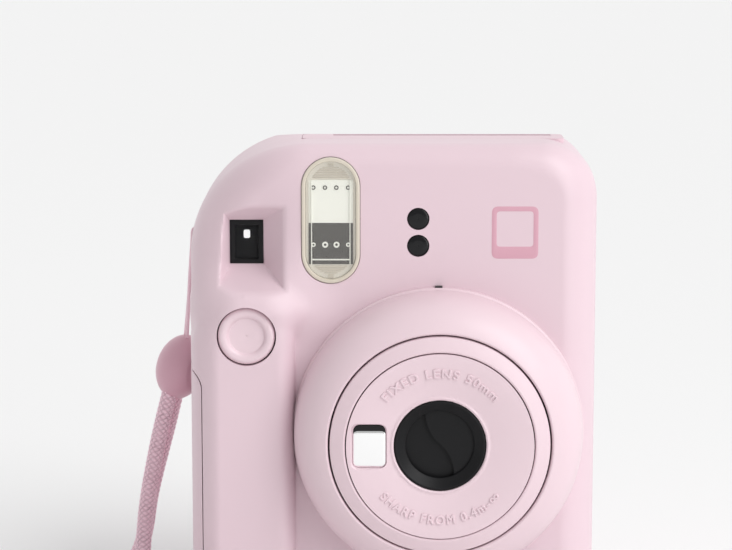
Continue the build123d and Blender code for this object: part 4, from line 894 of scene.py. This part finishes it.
finder_outline = rounded_box_outline(FINDER[0], FINDER[2], 8.4, 11.1, 0.3)
finder_inner = rounded_box_outline(FINDER[0], FINDER[2] - 0.1, 5.9, 8.6, 0.3)
finder_y = FINDER[1]
ring_plate("finder_frame", finder_outline, finder_inner, finder_y - 0.35, finder_y + 0.4, "root", "black_satin",
           edge=0.2)
solid_plate("finder_well", finder_outline, finder_y + 1.4, finder_y + 1.7, "root", "inner_black", edge=0.05)
solid_plate("finder_pane", finder_outline, finder_y - 0.05, finder_y + 0.3, "root", "finder_glass",
            ["viewfinder_front_window"], edge=0.05)
# A small plate at the viewfinder's top that glows with painted light.
finder_light = rounded_box_outline(FINDER[0], FINDER[2] + 1.75, 1.6, 2.1, 0.5)
solid_plate("finder_light", finder_light, finder_y + 1.1, finder_y + 1.35, "root", "finder_painted_glow", edge=0.05)

# ---- lettering ----------------------------------------------------------------------
def raised_text(words, size, rise):
    """Letters as a mesh about the origin in millimetres, standing up from y = 0 towards -Y."""
    data = bpy.data.curves.new(words, "FONT")
    data.body = words
    data.size = size
    data.extrude = rise / 2
    data.bevel_depth = 0.09
    data.bevel_resolution = 1
    data.align_x = "CENTER"
    data.space_character = 1.22
    data.resolution_u = 4
    holder = bpy.data.objects.new("text_reader", data)
    mesh = evaluated_mesh(holder)
    bpy.data.objects.remove(holder)
    return mesh


LETTER_SINK = 0.08


def arc_text(name, words, size, radius, is_low):
    """Raised letters on the lens plate, bent round the lens axis."""
    mesh = raised_text(words, size, 0.6)
    for vertex in mesh.vertices:
        across, up, out = vertex.co
        r = radius - up if is_low else radius + up
        turn = math.radians(-90) + across / radius if is_low else math.radians(90) - across / radius
        y = dish_depth(r) - out + LETTER_SINK
        vertex.co = Vector((AXIS_X + r * math.cos(turn), y, AXIS_Z + r * math.sin(turn))) * MM
    mesh.name = name
    return place(name, mesh, "lens_barrel", "lens_pink")


arc_text("lens_lettering", "FIXED LENS 50mm", 3.1, 17.0, False)
arc_text("focus_lettering", "SHARP FROM 0.4m-\u221e", 3.0, 19.3, True)


PRINT_X, PRINT_Z = 29.6, 100.4
PRINT_Y = FRONT - 0.03
frame_out = rounded_box_outline(PRINT_X, PRINT_Z, 11.5, 13.0, 1.6)
frame_in = rounded_box_outline(PRINT_X, PRINT_Z + 0.9, 9.1, 8.8, 0.9)
ring_plate("photo_print_mark_0", frame_out, frame_in, PRINT_Y, PRINT_Y + 0.25, "root", "logo_pink", edge=0.02)


# ---- battery cover --------------------------------------------------------------------
cover_skin_low = (LEFT - 1.3, GRIP_FRONT - 1.2, COVER_LOW.z - 1.3)
cover_skin_high = (COVER_SEAM_X + 1.3, 24.6, COVER_HIGH.z + COVER_RISE + 1.3)
skin("battery_cover_skin", cover_field, cover_skin_low, cover_skin_high, FINE, "battery_cover", "shell_pink",
     ["battery_cover"])


# ---- finish of the CAD nodes that stay -------------------------------------------------
def finish_nodes():
    """Give every CAD node that shows its procedural material."""
    slots = {part["node"]: part["material_slot"] for part in frame["record"]["subparts"]}
    for name, node in frame["nodes"].items():
        node.data.materials.clear()
        node.data.materials.append(MAT[slots[name]])


finish_nodes()


# ---- light and stage -----------------------------------------------------------------
def area_light(name, spot, target, size, power):
    """A square soft light at a point, facing another."""
    data = bpy.data.lights.new(name, "AREA")
    data.size = size
    data.energy = power
    obj = bpy.data.objects.new(name, data)
    obj.location = spot
    obj.rotation_euler = (Vector(target) - Vector(spot)).to_track_quat("-Z", "Y").to_euler()
    bpy.context.scene.collection.objects.link(obj)


def make_stage():
    """A plain pale floor that runs out of sight."""
    half_floor = 4.0
    data = bpy.data.meshes.new("floor")
    corners = [(right * half_floor, back * half_floor, 0) for right, back in QUARTERS]
    data.from_pydata(corners, [], [(0, 1, 2, 3)])
    floor = bpy.data.objects.new("floor", data)
    data.materials.append(base_material("floor_paper", (0.86, 0.86, 0.86), 0.9))
    bpy.context.scene.collection.objects.link(floor)


WORLD_FRONT = 0.49
WORLD_BACK = 0.95
SUN = 1.4


def make_world():
    """A pale studio: bright behind the object, dimmer in front of it."""
    world = bpy.data.worlds.new("world")
    bpy.context.scene.world = world
    world.use_nodes = True
    tree = world.node_tree
    tree.nodes["Background"].inputs["Color"].default_value = (1, 1, 1, 1)
    direction = tree.nodes.new("ShaderNodeTexCoord")
    parts = tree.nodes.new("ShaderNodeSeparateXYZ")
    level = tree.nodes.new("ShaderNodeMapRange")
    level.inputs["From Min"].default_value = -0.5
    level.inputs["From Max"].default_value = 0.4
    level.inputs["To Min"].default_value = WORLD_FRONT
    level.inputs["To Max"].default_value = WORLD_BACK
    tree.links.new(direction.outputs["Generated"], parts.inputs["Vector"])
    tree.links.new(parts.outputs["Y"], level.inputs["Value"])
    tree.links.new(level.outputs["Result"], tree.nodes["Background"].inputs["Strength"])


def make_sun():
    """The key light: a wide soft sun from the right, so the floor is evenly lit."""
    data = bpy.data.lights.new("key", "SUN")
    data.energy = SUN
    data.angle = math.radians(40)
    obj = bpy.data.objects.new("key", data)
    obj.rotation_euler = Vector((0.58, -0.44, 0.68)).to_track_quat("Z", "Y").to_euler()
    bpy.context.scene.collection.objects.link(obj)


make_stage()
make_world()
make_sun()
area_light("softbox", (0.42, -0.50, 0.20), (0.02, 0.0, 0.07), 0.35, 0.9)
bpy.context.scene.view_settings.view_transform = "Standard"
